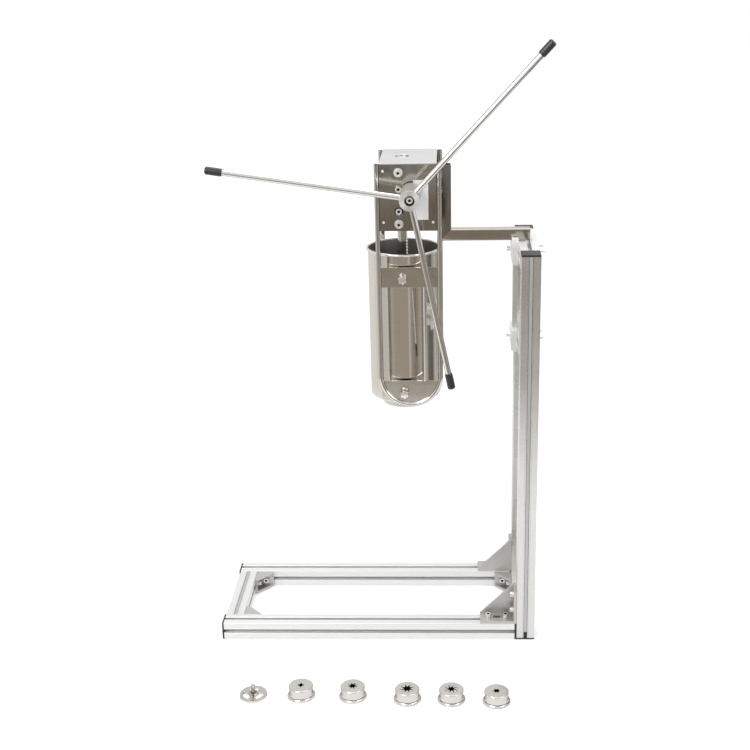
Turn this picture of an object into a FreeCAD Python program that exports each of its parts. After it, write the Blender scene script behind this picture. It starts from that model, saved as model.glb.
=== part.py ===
import FreeCAD, Part
import math
import os
from collections import namedtuple
from types import SimpleNamespace

import Sketcher
from FreeCAD import Placement, Rotation, Vector

# Churro maker: a rack press with a three-armed hand wheel, hung from an aluminium profile stand.
# Millimetres, +Z up, +Y away from the hand wheel. The origin is on the floor under the middle of
# the column, so the stand, the hanger and the press all reach away from it along -X.

SIZES = {
    # slotted profile and stand
    "profile": 40,
    "slot_mouth": 8.2,
    "slot_lip": 4.5,
    "slot_width": 20,
    "slot_straight": 1.5,
    "slot_depth": 12.3,
    "slot_floor": 8,
    "core_bore": 6.8,
    "rail_length": 650,
    "stand_depth": 280,
    "stand_height": 880,
    "cap_thick": 4,
    "lower_beam_drop": 190,
    # corner brackets and gussets
    "bracket_leg": 40,
    "bracket_width": 35,
    "bracket_thick": 5,
    "bracket_web": 4,
    "bracket_bolt": 22,
    "gusset_leg": 80,
    "gusset_width": 40,
    "gusset_thick": 6,
    "gusset_web": 5,
    "gusset_bolt_near": 24,
    "gusset_bolt_far": 62,
    "gusset_slot_at": 43,
    "gusset_slot_length": 16,
    "slot_nut_side": 13,
    "slot_nut_thick": 4,
    # screws: thread radius, head radius, head height, socket radius, socket depth
    "m8_thread": 4,
    "m8_head": 6.5,
    "m8_head_height": 8,
    "m8_socket": 3.46,
    "m8_socket_depth": 4,
    "m6_thread": 3,
    "m6_head": 5,
    "m6_head_height": 6,
    "m6_socket": 2.89,
    "m6_socket_depth": 3,
    "m5_thread": 2.5,
    "m5_head": 4.75,
    "m5_head_height": 2.8,
    "m5_socket": 1.73,
    "m5_socket_depth": 1.6,
    "screw_play": 0.3,
    "washer_thick": 1.6,
    "m6_washer": 6,
    "m6_nut": 5.77,
    "m6_nut_height": 5,
    # hanger
    "tube": 25,
    "tube_wall": 2,
    "arm_overhang": 5,
    "upright_height": 160,
    "hanger_plate_thick": 4,
    "hanger_plate_width": 72,
    "hanger_plate_height": 66,
    "hanger_plate_rise": 4.5,
    "hanger_screw_y": 28,
    "hanger_screw_z": 16.5,
    "hanger_screw_length": 14,
    "leg_bar_thick": 10,
    "leg_bar_width": 30,
    "leg_bar_play": 0.2,
    "shoe_thick": 14,
    "shoe_width": 72,
    "shoe_height": 48,
    "shoe_round": 7,
    "shoe_cheek": 8,
    "shoe_bolt_y": 24.5,
    "shoe_counterbore": 6.5,
    "through_bolt_end": 16,
    # gearbox
    "barrel_reach": 261,
    "box_shift": 14,
    "box_width": 116,
    "box_depth": 180,
    "box_above_shaft": 55,
    "box_below_shaft": 80,
    "box_wall": 14,
    "box_plate": 4,
    "box_floor": 10,
    "cover_thick": 3,
    "cover_hole": 15,
    "corner_screw_side": 8,
    "corner_screw_top": 13,
    "corner_screw_bottom": 18,
    "corner_screw_length": 14,
    "guide_left": 25,
    "guide_right": 3,
    "guide_above_shaft": 50,
    "guide_screw_shift": 5,
    "guide_screw_one_rise": 39,
    "guide_screw_two_rise": 6,
    "guide_screw_three_drop": 41,
    "guide_screw_four_drop": 66,
    "guide_screw_length": 30,
    "guide_washer": 9.2,
    "guide_access": 9.5,
    "guide_access_depth": 6,
    "label_left": 11,
    "label_width": 30,
    "label_height": 81,
    "label_drop": 57,
    "label_thick": 0.5,
    # shaft and hand wheel
    "shaft_above_stand": 120,
    "shaft_radius": 8,
    "shaft_back_end": 14,
    "running_gap": 0.05,
    "side_gap": 0.3,
    "bush_radius": 11,
    "bush_flange": 14,
    "bush_flange_thick": 3,
    "bush_inside": 6,
    "collar_radius": 14,
    "collar_length": 8,
    "hub_radius": 20.5,
    "hub_length": 85,
    "hub_boss_radius": 12,
    "hub_boss_length": 5.7,
    "hub_chamfer": 1,
    "hub_socket_radius": 9,
    "hub_socket_depth": 12,
    "hub_screw_length": 16,
    "handle_from_front": 22,
    "handle_root": 14,
    "handle_radius": 6,
    "handle_reach": 403,
    "handle_angle_left": 171.4,
    "handle_angle_right": 47.1,
    "handle_angle_low": -78.5,
    "grip_radius": 8,
    "grip_length": 34,
    "grip_end": 4,
    "grip_round": 2,
    # pinion and rack
    "gear_module": 2,
    "pinion_teeth": 13,
    "pinion_width": 24,
    "pressure_angle": 20,
    "pinion_addendum": 2,
    "rack_addendum": 1.5,
    "gear_dedendum": 2.5,
    "mesh_gap": 0.25,
    "rack_radius": 12.5,
    "rack_pitch_line": 7,
    "rack_above_shaft": 56,
    "rack_teeth": 57,
    "rack_teeth_above": 8,
    # barrel and piston
    "barrel_radius": 76,
    "barrel_wall": 1.5,
    "barrel_top_drop": 132,
    "barrel_length": 336,
    "barrel_bead": 2.75,
    "barrel_cone_height": 11,
    "barrel_floor": 3,
    "barrel_toe_radius": 59,
    "barrel_cone_shift": 0.5,
    "neck_radius": 43,
    "neck_length": 8,
    "nozzle_seat_radius": 29,
    "ring_nut_radius": 50,
    "ring_nut_lip": 3,
    "ring_nut_opening": 25.5,
    "ring_nut_gap": 0.1,
    "spanner_hole_radius": 3,
    "spanner_hole_depth": 5,
    "piston_gap": 0.5,
    "piston_land": 14,
    "seal_gap": 0.3,
    "seal_height": 5,
    "seal_depth": 4,
    "seal_up": 4,
    "m10_thread": 5,
    "m10_head": 8,
    "m10_head_height": 10,
    "m10_socket": 4.62,
    "m10_socket_depth": 5,
    "piston_recess_radius": 9,
    "piston_recess_depth": 11,
    "piston_screw_grip": 25,
    # cradle
    "hoop_rod": 5,
    "hoop_plane": 86,
    "hoop_above_shaft": 56,
    "hoop_centre_rise": 73.2,
    "strap_drop": 26,
    "strap_width": 42,
    "cradle_plate": 3,
    "toe_plate_rise": 63,
    "stud_high_drop": 49,
    "stud_low_rise": 37,
    "stud_base_radius": 8,
    "stud_reach": 10.5,
    "acorn_radius": 9.8,
    "acorn_hex_height": 8,
    "acorn_dome": 7.5,
    "acorn_bore": 11,
    # loose nozzles and core disc: shapes, then places on the floor and mouths
    "nozzle_flange_radius": 28.5,
    "nozzle_flange_height": 2.5,
    "nozzle_neck_bottom": 28,
    "nozzle_waist_radius": 25,
    "nozzle_waist_top": 24,
    "nozzle_disc_bottom": 20.5,
    "nozzle_disc_radius": 25,
    "nozzle_disc_edge": 1.2,
    "nozzle_height": 25,
    "nozzle_mouth_land": 4,
    "nozzle_cavity_bottom": 21,
    "nozzle_cavity_top": 16,
    "core_disc_radius": 28,
    "core_disc_thick": 4,
    "core_pin_radius": 4,
    "core_pin_height": 24,
    "core_collar_radius": 9,
    "core_collar_height": 7,
    "core_cup_radius": 7.4,
    "core_slot_inner": 11,
    "core_slot_outer": 22,
    "core_slot_half_angle": 38,
    "core_disc_x": -576,
    "core_disc_y": -355,
    "small_cross_x": -476,
    "small_cross_y": -356,
    "small_cross_points": 4,
    "small_cross_turn": 0,
    "small_cross_outer": 8,
    "small_cross_inner": 4.4,
    "small_star_x": -368.5,
    "small_star_y": -358,
    "small_star_points": 8,
    "small_star_turn": 22.5,
    "small_star_outer": 10.5,
    "small_star_inner": 5.4,
    "large_star_x": -255.5,
    "large_star_y": -367,
    "large_star_points": 8,
    "large_star_turn": 22.5,
    "large_star_outer": 13.5,
    "large_star_inner": 6.8,
    "medium_star_x": -165,
    "medium_star_y": -368,
    "medium_star_points": 8,
    "medium_star_turn": 30,
    "medium_star_outer": 12.5,
    "medium_star_inner": 5.4,
    "fine_star_x": -72.5,
    "fine_star_y": -374,
    "fine_star_points": 6,
    "fine_star_turn": 0,
    "fine_star_outer": 8.5,
    "fine_star_inner": 4.8,
}

# The loose nozzles, named after their mouths.
MOUTHS = ("small_cross", "small_star", "large_star", "medium_star", "fine_star")

SHEET = "Sizes"
FACING = {
    "+X": Rotation(Vector(0, 1, 0), 90),
    "-X": Rotation(Vector(0, 1, 0), -90),
    "+Y": Rotation(Vector(1, 0, 0), -90),
    "-Y": Rotation(Vector(1, 0, 0), 90),
    "+Z": Rotation(),
    "-Z": Rotation(Vector(1, 0, 0), 180),
}
NOWHERE = (0, 0, 0)

# A corner of an outline whose incoming edge is an arc, turning left (1) or right (-1) on its way.
Arc = namedtuple("Arc", "x y radius turn")
Screw = namedtuple("Screw", "thread head head_height socket socket_depth")

nodes = {}
counts = {}


def written(value):
    """Write a size or a plain number the way an expression on the sheet holds it."""
    return value.text if isinstance(value, Size) else repr(value)


class Size:
    """A number together with the expression that gives it on the sheet."""

    def __init__(self, number, text):
        self.number = number
        self.text = text

    def __float__(self):
        return float(self.number)

    def __neg__(self):
        return Size(-self.number, f"(-{self.text})")

    def __add__(self, other):
        return Size(self.number + float(other), f"({self.text} + {written(other)})")

    def __radd__(self, other):
        return self + other

    def __sub__(self, other):
        return Size(self.number - float(other), f"({self.text} - {written(other)})")

    def __rsub__(self, other):
        return Size(float(other) - self.number, f"({written(other)} - {self.text})")

    def __mul__(self, other):
        return Size(self.number * float(other), f"({self.text} * {written(other)})")

    def __rmul__(self, other):
        return self * other

    def __truediv__(self, other):
        return Size(self.number / float(other), f"({self.text} / {written(other)})")


def cosine(angle):
    """Cosine of an angle in degrees."""
    return Size(math.cos(math.radians(float(angle))), f"cos({written(angle)})")


def sine(angle):
    """Sine of an angle in degrees."""
    return Size(math.sin(math.radians(float(angle))), f"sin({written(angle)})")


def tangent(angle):
    """Tangent of an angle in degrees."""
    return Size(math.tan(math.radians(float(angle))), f"tan({written(angle)})")


doc = FreeCAD.newDocument("ChurroMaker")
sheet = doc.addObject("Spreadsheet::Sheet", SHEET)
for row, (alias, number) in enumerate(SIZES.items(), start=1):
    sheet.set(f"A{row}", alias)
    sheet.set(f"B{row}", str(number))
    sheet.setAlias(f"B{row}", alias)
doc.recompute()
s = SimpleNamespace(**{alias: Size(number, f"{SHEET}.{alias}") for alias, number in SIZES.items()})

# Places that several pieces share.
half = s.profile / 2
rail_y = s.stand_depth / 2 - half
inner_y = rail_y - half
rail_right = -half - s.cap_thick
rail_left = rail_right - s.rail_length
cross_length = s.stand_depth - s.profile * 2
upper_beam_z = s.stand_height - half
lower_beam_top = s.stand_height - s.lower_beam_drop
lower_beam_z = lower_beam_top - half
shaft_height = s.stand_height + s.shaft_above_stand
barrel_x = -s.barrel_reach
box_x = barrel_x + s.box_shift
box_left = box_x - s.box_width / 2
box_right = box_x + s.box_width / 2
box_front = -s.box_depth / 2
wall_end = s.box_depth / 2 - s.box_plate
box_top = shaft_height + s.box_above_shaft
box_bottom = shaft_height - s.box_below_shaft
wall_height = box_top - box_bottom
wall_z = (box_top + box_bottom) / 2
corner_screw_sides = (box_left + s.corner_screw_side, box_right - s.corner_screw_side)
corner_screw_levels = (box_top - s.corner_screw_top, box_bottom + s.corner_screw_bottom)
corner_screws = [(x, z) for x in corner_screw_sides for z in corner_screw_levels]
guide_screw_x = barrel_x - s.guide_screw_shift
sunk_screw_z = shaft_height - s.guide_screw_three_drop
washered_screws = (shaft_height + s.guide_screw_one_rise, shaft_height - s.guide_screw_four_drop)
plain_screw_z = shaft_height + s.guide_screw_two_rise
guide_screw_heights = (*washered_screws, plain_screw_z)
hanger_plate_z = shaft_height + s.hanger_plate_rise
pinion_radius = s.gear_module * s.pinion_teeth / 2
shaft_x = barrel_x + s.rack_pitch_line + pinion_radius
bush_end = s.box_depth / 2 + s.bush_flange_thick
hub_back = -bush_end - s.side_gap
hub_total = s.hub_boss_length + s.hub_length
hub_front = hub_back - hub_total
socket_floor = hub_front + s.hub_socket_depth
handle_y = hub_front + s.handle_from_front
handle_angles = (s.handle_angle_left, s.handle_angle_right, s.handle_angle_low)
arm_left = box_right + s.hanger_plate_thick
leg_bar_left = -half - s.leg_bar_thick
shoe_left = -half - s.shoe_thick
shoe_low = s.shoe_height - s.profile
barrel_top = shaft_height - s.barrel_top_drop
barrel_underside = barrel_top - s.barrel_length
barrel_waist = barrel_underside + s.barrel_cone_height
barrel_bore = s.barrel_radius - s.barrel_wall
floor_z = barrel_underside + s.barrel_floor
cone_floor = s.barrel_toe_radius - s.barrel_cone_shift
cone_top = barrel_waist + (s.barrel_floor - s.barrel_wall) + s.barrel_cone_shift
piston_bottom = floor_z + s.piston_gap
piston_shoulder = cone_top + s.piston_gap
piston_top = piston_shoulder + s.piston_land
hoop_radius = s.box_width / 2 + s.hoop_rod
hoop_top = shaft_height + s.hoop_above_shaft
hoop_centre = barrel_underside + s.hoop_centre_rise
strap_z = barrel_top - s.strap_drop - s.strap_width / 2
stud_high = barrel_top - s.stud_high_drop
stud_low = barrel_underside + s.stud_low_rise

M5 = Screw(s.m5_thread, s.m5_head, s.m5_head_height, s.m5_socket, s.m5_socket_depth)
M6 = Screw(s.m6_thread, s.m6_head, s.m6_head_height, s.m6_socket, s.m6_socket_depth)
M8 = Screw(s.m8_thread, s.m8_head, s.m8_head_height, s.m8_socket, s.m8_socket_depth)
M10 = Screw(s.m10_thread, s.m10_head, s.m10_head_height, s.m10_socket, s.m10_socket_depth)


# Helpers that make document objects whose properties are bound to the sheet.

def named(kind, name):
    """Add an object to the document under a name, numbered when the name is already used."""
    counts[name] = counts.get(name, 0) + 1
    return doc.addObject(kind, name if counts[name] == 1 else f"{name}_{counts[name]}")


def bind(obj, property_name, value):
    """Tie a property to the sheet, or set it when the value is a plain number."""
    if isinstance(value, Size):
        obj.setExpression(property_name, value.text)
    elif value:
        obj.setExpression(property_name, repr(value))


def place(obj, at, turn=FACING["+Z"]):
    """Turn an object and tie its position to the sheet."""
    obj.Placement = Placement(Vector(), turn)
    for letter, value in zip("xyz", at):
        bind(obj, f"Placement.Base.{letter}", value)
    return obj


def sized(kind, name, at, facing, **properties):
    """Add a primitive with bound sizes, its own Z axis laid along the facing direction."""
    obj = named(kind, name)
    for property_name, value in properties.items():
        bind(obj, property_name, value)
    return place(obj, at, FACING[facing])


def box(name, length, width, height, at=NOWHERE, facing="+Z"):
    """Add a box from its lowest corner."""
    return sized("Part::Box", name, at, facing, Length=length, Width=width, Height=height)


def rod(name, radius, length, at=NOWHERE, facing="+Z"):
    """Add a round bar that starts at a point and runs along the facing direction."""
    return sized("Part::Cylinder", name, at, facing, Radius=radius, Height=length)


def hexagon(name, radius, length, at=NOWHERE, facing="+Z"):
    """Add a hexagonal bar; the radius goes to its corners."""
    prism = sized("Part::Prism", name, at, facing, Circumradius=radius, Height=length)
    prism.Polygon = 6
    return prism


def joined(name, *shapes):
    """Fuse overlapping shapes into one."""
    fuse = named("Part::MultiFuse", name)
    fuse.Shapes = list(shapes)
    return fuse


def cut(name, base, *tools, at=NOWHERE, facing="+Z"):
    """Cut the tools out of the base and place the result."""
    result = named("Part::Cut", name)
    result.Base = base
    result.Tool = tools[0] if len(tools) == 1 else joined(f"{name}_tools", *tools)
    return place(result, at, FACING[facing])


def group(name, members):
    """Keep separate solids together as one sub-part."""
    compound = named("Part::Compound", name)
    compound.Links = list(members)
    return node(compound, name)


def node(obj, name):
    """Register an object as a finished sub-part."""
    obj.Label = name
    nodes[name] = obj
    return obj


def new_body(name, at=NOWHERE, turn=FACING["+Z"]):
    """Add an empty body."""
    return place(named("PartDesign::Body", name), at, turn)


def new_sketch(body, role, offset=0):
    """Attach a sketch to one of the body's own planes, or to a plane parallel to it."""
    sketch = body.newObject("Sketcher::SketchObject", f"{body.Name}_sketch")
    plane = next(item for item in body.Origin.OriginFeatures if item.Role == role)
    sketch.AttachmentSupport = [(plane, "")]
    sketch.MapMode = "FlatFace"
    bind(sketch, "AttachmentOffset.Base.z", offset)
    return sketch


def pin_point(sketch, edge, end, x, y):
    """Tie one point of a sketch to the sheet by its two coordinates."""
    for direction, value in (("DistanceX", x), ("DistanceY", y)):
        constraint = Sketcher.Constraint(direction, -1, 1, edge, end, float(value))
        index = sketch.addConstraint(constraint)
        if isinstance(value, Size):
            sketch.setExpression(f"Constraints[{index}]", value.text)


def arc_between(start, end, radius, turn):
    """Make the shorter arc from start to end that turns left (1) or right (-1)."""
    middle = (start + end) / 2
    chord = end - start
    rise = math.sqrt(max(radius ** 2 - (chord.Length / 2) ** 2, 0))
    left = Vector(-chord.y, chord.x, 0).normalize()
    centre = middle + left * (rise * turn)
    if turn < 0:
        start, end = end, start
    angles = [math.atan2(point.y - centre.y, point.x - centre.x) for point in (start, end)]
    return Part.ArcOfCircle(Part.Circle(centre, Vector(0, 0, 1), radius), *angles)


def draw(sketch, corners):
    """Add a closed outline through the corners, lines and arcs, every corner tied to the sheet."""
    first = sketch.GeometryCount
    points = [Vector(float(corner[0]), float(corner[1]), 0) for corner in corners]
    ends = []
    for index, corner in enumerate(corners):
        start, end = points[index - 1], points[index]
        if isinstance(corner, Arc):
            edge = sketch.addGeometry(arc_between(start, end, float(corner.radius), corner.turn), False)
            ends.append((1, 2) if corner.turn > 0 else (2, 1))
            curve = sketch.addConstraint(Sketcher.Constraint("Radius", edge, float(corner.radius)))
            sketch.setExpression(f"Constraints[{curve}]", written(corner.radius))
        else:
            sketch.addGeometry(Part.LineSegment(start, end), False)
            ends.append((1, 2))
    for index, corner in enumerate(corners):
        after = (index + 1) % len(corners)
        meet = Sketcher.Constraint("Coincident", first + index, ends[index][1], first + after, ends[after][0])
        sketch.addConstraint(meet)
        pin_point(sketch, first + index, ends[index][1], corner[0], corner[1])


def draw_circle(sketch, x, y, radius):
    """Add a circle tied to the sheet."""
    middle = Vector(float(x), float(y), 0)
    circle = sketch.addGeometry(Part.Circle(middle, Vector(0, 0, 1), float(radius)), False)
    curve = sketch.addConstraint(Sketcher.Constraint("Radius", circle, float(radius)))
    sketch.setExpression(f"Constraints[{curve}]", written(radius))
    pin_point(sketch, circle, 3, x, y)


def rectangle(left, bottom, right, top):
    """List the corners of a rectangle."""
    return [(left, bottom), (right, bottom), (right, top), (left, top)]


def pad(body, sketch, length, side="Symmetric"):
    """Thicken a sketch into the body."""
    feature = body.newObject("PartDesign::Pad", f"{body.Name}_pad")
    feature.Profile = sketch
    feature.SideType = side
    bind(feature, "Length", length)
    return feature


def pocket(body, sketch, depth):
    """Cut a sketch out of the body, this deep to both sides of its plane."""
    feature = body.newObject("PartDesign::Pocket", f"{body.Name}_pocket")
    feature.Profile = sketch
    feature.SideType = "Symmetric"
    bind(feature, "Length", depth * 2)
    return feature


def drill(body, role, places, radius, depth, offset=0):
    """Pocket round holes at the places, this deep to both sides of the plane."""
    sketch = new_sketch(body, role, offset)
    for x, y in places:
        draw_circle(sketch, x, y, radius)
    return pocket(body, sketch, depth)


def turned(name, outline, at=NOWHERE, facing="+Z"):
    """Revolve an outline of radius and height pairs into a body."""
    body = new_body(name, at, FACING[facing])
    sketch = new_sketch(body, "XZ_Plane")
    draw(sketch, outline)
    feature = body.newObject("PartDesign::Revolution", f"{name}_turn")
    feature.Profile = sketch
    feature.ReferenceAxis = (sketch, ["V_Axis"])
    feature.Angle = 360
    return body


def plate(name, role, width, height, thick, at, holes=()):
    """Pad a rectangle about its middle, with round holes given as x, y and radius."""
    body = new_body(name, at)
    sketch = new_sketch(body, role)
    draw(sketch, rectangle(-width / 2, -height / 2, width / 2, height / 2))
    for x, y, radius in holes:
        draw_circle(sketch, x, y, radius)
    pad(body, sketch, thick)
    return body


def ring(name, outer, inner, height, at, facing):
    """Make a washer, collar or other plain ring."""
    disc = rod(f"{name}_disc", outer, height)
    return cut(name, disc, rod(f"{name}_bore", inner, height), at=at, facing=facing)


def along(at, facing, distance):
    """Move a place along one of the six directions."""
    step = distance if facing[0] == "+" else -distance
    return tuple(value + step if letter == facing[1] else value for letter, value in zip("XYZ", at))


def cap_screw(name, screw, length, at, facing):
    """Make a socket head screw whose head sits on a point and faces outward."""
    head = rod(f"{name}_head", screw.head, screw.head_height)
    shank = rod(f"{name}_shank", screw.thread, length, (0, 0, -length))
    floor = (0, 0, screw.head_height - screw.socket_depth)
    socket = hexagon(f"{name}_socket", screw.socket, screw.socket_depth, floor)
    return cut(name, joined(f"{name}_blank", head, shank), socket, at=at, facing=facing)


# Stand.

def slotted_outline():
    """List the corners of the slotted section, one side after another."""
    mouth = s.slot_mouth / 2
    wide = s.slot_width / 2
    floor = s.slot_floor / 2
    shelf = half - s.slot_lip
    bend = shelf - s.slot_straight
    bottom = half - s.slot_depth
    lower = [(half, -half), (half, -mouth), (shelf, -mouth), (shelf, -wide), (bend, -wide), (bottom, -floor)]
    side = lower + [(x, -y) for x, y in reversed(lower[1:])]
    corners = []
    for _ in range(4):
        corners += side
        side = [(-y, x) for x, y in side]
    return corners


def profile_bar(name, role, length, at):
    """Pad the slotted section about the bar's middle."""
    body = new_body(name, at)
    section = new_sketch(body, role)
    draw(section, slotted_outline())
    draw_circle(section, 0, 0, s.core_bore / 2)
    pad(body, section, length)
    return node(body, name)


def make_stand():
    """Lay the base frame, stand the two posts on its right end and tie them with two beams."""
    rail_x = (rail_left + rail_right) / 2
    post_length = s.stand_height - s.cap_thick * 2
    for word, y in (("front", -rail_y), ("back", rail_y)):
        profile_bar(f"rail_{word}", "YZ_Plane", s.rail_length, (rail_x, y, half))
        profile_bar(f"post_{word}", "XY_Plane", post_length, (0, y, s.stand_height / 2))
    profile_bar("cross_rail_left", "XZ_Plane", cross_length, (rail_left + half, 0, half))
    profile_bar("cross_rail_right", "XZ_Plane", cross_length, (0, 0, half))
    for word, z in (("upper", upper_beam_z), ("lower", lower_beam_z)):
        beam = profile_bar(f"beam_{word}", "XZ_Plane", cross_length, (0, 0, z))
        bolts = [(-s.shoe_bolt_y, 0), (s.shoe_bolt_y, 0)]
        drill(beam, "YZ_Plane", bolts, M6.thread + s.screw_play, half)


def make_end_caps():
    """Close the open profile ends."""
    caps = []
    for y in (-rail_y, rail_y):
        for x in (rail_left - s.cap_thick, rail_right):
            caps.append(box("rail_cap", s.cap_thick, s.profile, s.profile, (x, y - half, 0)))
        for z in (0, s.stand_height - s.cap_thick):
            caps.append(box("post_cap", s.profile, s.profile, s.cap_thick, (-half, y - half, z)))
    group("end_caps", caps)


def angle_bracket(name, leg, width, thick, web, web_side, at, turn):
    """Make a bracket with legs along X and Y and a web at both sides (0) or at one (1 or -1)."""
    body = new_body(name, at, turn)
    side = new_sketch(body, "XY_Plane")
    draw(side, [(0, 0), (leg, 0), (leg, thick), (thick, leg), (0, leg)])
    pad(body, side, width)
    hollow = new_sketch(body, "XY_Plane", -web * web_side)
    draw(hollow, rectangle(thick, thick, leg + thick, leg + thick))
    pocket(body, hollow, width / 2 if web_side else width / 2 - web)
    return body


def make_brackets_and_bolts():
    """Fit the corner brackets and gussets, each bolt with its nut in the slot."""
    brackets = []
    bolts = []
    nuts = []

    def slot_bolt(at, facing, grip):
        """Bolt a bracket leg of a given thickness to the slot below it."""
        reach = grip + s.slot_lip + s.slot_nut_thick
        bolts.append(cap_screw("bracket_bolt", M8, reach, at, facing))
        side = s.slot_nut_side
        blank = box("slot_nut_blank", side, side, s.slot_nut_thick, (-side / 2, -side / 2, 0))
        bore = rod("slot_nut_bore", M8.thread, s.slot_nut_thick)
        nuts.append(cut("slot_nut", blank, bore, at=along(at, facing, -reach), facing=facing))

    corners = (
        (rail_left + s.profile, -inner_y, 0, "+X", "+Y"),
        (-half, -inner_y, 90, "-X", "+Y"),
        (-half, inner_y, 180, "-X", "-Y"),
        (rail_left + s.profile, inner_y, 270, "+X", "-Y"),
    )
    thick = s.bracket_thick
    for x, y, turn, inward_x, inward_y in corners:
        spin = Rotation(Vector(0, 0, 1), turn)
        bracket = angle_bracket(
            "corner_bracket", s.bracket_leg, s.bracket_width, thick, s.bracket_web, 0, (x, y, half), spin
        )
        for role in ("XZ_Plane", "YZ_Plane"):
            drill(bracket, role, [(s.bracket_bolt, 0)], M8.thread + s.screw_play, thick)
        brackets.append(bracket)
        on_rail = along((x, y, half), inward_x, s.bracket_bolt)
        slot_bolt(along(on_rail, inward_y, thick), inward_y, thick)
        on_cross = along((x, y, half), inward_y, s.bracket_bolt)
        slot_bolt(along(on_cross, inward_x, thick), inward_x, thick)
    group("corner_brackets", brackets)

    upright = Rotation(Vector(-1, 0, 0), Vector(0, 0, 1), Vector(0, 1, 0), "XYZ")
    thick = s.gusset_thick
    spots = (s.gusset_bolt_near, s.gusset_bolt_far)
    for word, y, web_side in (("front", -rail_y, 1), ("back", rail_y, -1)):
        at = (-half, y, s.profile)
        gusset = angle_bracket(
            f"gusset_{word}", s.gusset_leg, s.gusset_width, thick, s.gusset_web, web_side, at, upright
        )
        for role in ("XZ_Plane", "YZ_Plane"):
            drill(gusset, role, [(spot, 0) for spot in spots], M8.thread + s.screw_play, thick)
        oblong = new_sketch(gusset, "XZ_Plane")
        ends = s.gusset_slot_length / 2
        sides = M8.thread + s.screw_play
        draw(oblong, rectangle(s.gusset_slot_at - ends, -sides, s.gusset_slot_at + ends, sides))
        pocket(gusset, oblong, thick)
        node(gusset, f"gusset_{word}")
        for spot in spots:
            slot_bolt((-half - spot, y, s.profile + thick), "+Z", thick)
            slot_bolt((-half - thick, y, s.profile + spot), "-X", thick)
    group("bracket_bolts", bolts)
    group("slot_nuts", nuts)


# Hanger.

def square_tube(name, role, length, at, mitre):
    """Make a square tube from its mitred corner along the plane's normal, flush with the corner."""
    body = new_body(name, at)
    section = new_sketch(body, role)
    wall = s.tube_wall
    across = s.tube / 2
    if role == "YZ_Plane":
        draw(section, rectangle(-across, 0, across, s.tube))
        draw(section, rectangle(wall - across, wall, across - wall, s.tube - wall))
    else:
        draw(section, rectangle(0, -across, s.tube, across))
        draw(section, rectangle(wall, wall - across, s.tube - wall, across - wall))
    pad(body, section, length, "One side")
    corner = new_sketch(body, "XZ_Plane")
    draw(corner, mitre)
    pocket(body, corner, s.tube)
    return node(body, name)


def make_hanger():
    """Weld arm, upright and plate into the hook that carries the press, with its leg bar."""
    arm_length = s.arm_overhang - arm_left
    corner = (arm_left, 0, s.stand_height)
    square_tube("hanger_arm", "YZ_Plane", arm_length, corner, [(0, 0), (s.tube, s.tube), (0, s.tube)])
    square_tube(
        "hanger_upright", "XY_Plane", s.upright_height, corner, [(0, 0), (s.tube, 0), (s.tube, s.tube)]
    )
    levels = (-s.hanger_screw_z, s.hanger_screw_z)
    holes = [(y, z) for y in (-s.hanger_screw_y, s.hanger_screw_y) for z in levels]
    bored = [(y, z, M6.thread + s.screw_play) for y, z in holes]
    middle = (arm_left - s.hanger_plate_thick / 2, 0, hanger_plate_z)
    size = (s.hanger_plate_width, s.hanger_plate_height, s.hanger_plate_thick)
    node(plate("hanger_plate", "YZ_Plane", *size, middle, bored), "hanger_plate")
    screws = []
    for y, z in holes:
        at = (arm_left, y, hanger_plate_z + z)
        screws.append(cap_screw("hanger_screw", M6, s.hanger_screw_length, at, "+X"))
    group("hanger_screws", screws)

    bar_bottom = lower_beam_top - s.shoe_height
    bar_height = s.stand_height - bar_bottom
    bar_z = bar_bottom + bar_height / 2
    tapped = [(0, z - bar_z, M6.thread) for z in (upper_beam_z, lower_beam_z)]
    at = (leg_bar_left + s.leg_bar_thick / 2, 0, bar_z)
    node(plate("leg_bar", "YZ_Plane", s.leg_bar_width, bar_height, s.leg_bar_thick, at, tapped), "leg_bar")


def clamp_shoe(name, beam_z, cheek):
    """Make a clamp block that straddles the leg bar, its cheeks rising past the arm."""
    body = new_body(name, (0, 0, beam_z))
    side = new_sketch(body, "XZ_Plane")
    bottom = -half - shoe_low
    top = half + cheek
    turn_in = s.shoe_round
    draw(side, [
        (shoe_left, top),
        (shoe_left, bottom + turn_in),
        Arc(shoe_left + turn_in, bottom, turn_in, 1),
        (-half, bottom),
        (-half, top),
    ])
    pad(body, side, s.shoe_width)
    channel = new_sketch(body, "XY_Plane")
    bar_side = s.leg_bar_width / 2 + s.leg_bar_play
    draw(channel, rectangle(leg_bar_left, -bar_side, s.shoe_thick, bar_side))
    pocket(body, channel, s.shoe_height + cheek)
    through = s.shoe_thick + s.profile
    if cheek:
        arm_gap = new_sketch(body, "YZ_Plane")
        arm_side = s.tube / 2 + s.leg_bar_play
        draw(arm_gap, rectangle(-arm_side, half, arm_side, half + cheek * 2))
        pocket(body, arm_gap, through)
    spots = [(-s.shoe_bolt_y, 0), (0, 0), (s.shoe_bolt_y, 0)]
    drill(body, "YZ_Plane", spots, M6.thread + s.screw_play, through)
    drill(body, "YZ_Plane", [spots[0], spots[2]], M6.head + s.screw_play, s.shoe_counterbore, shoe_left)
    return node(body, name)


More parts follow.
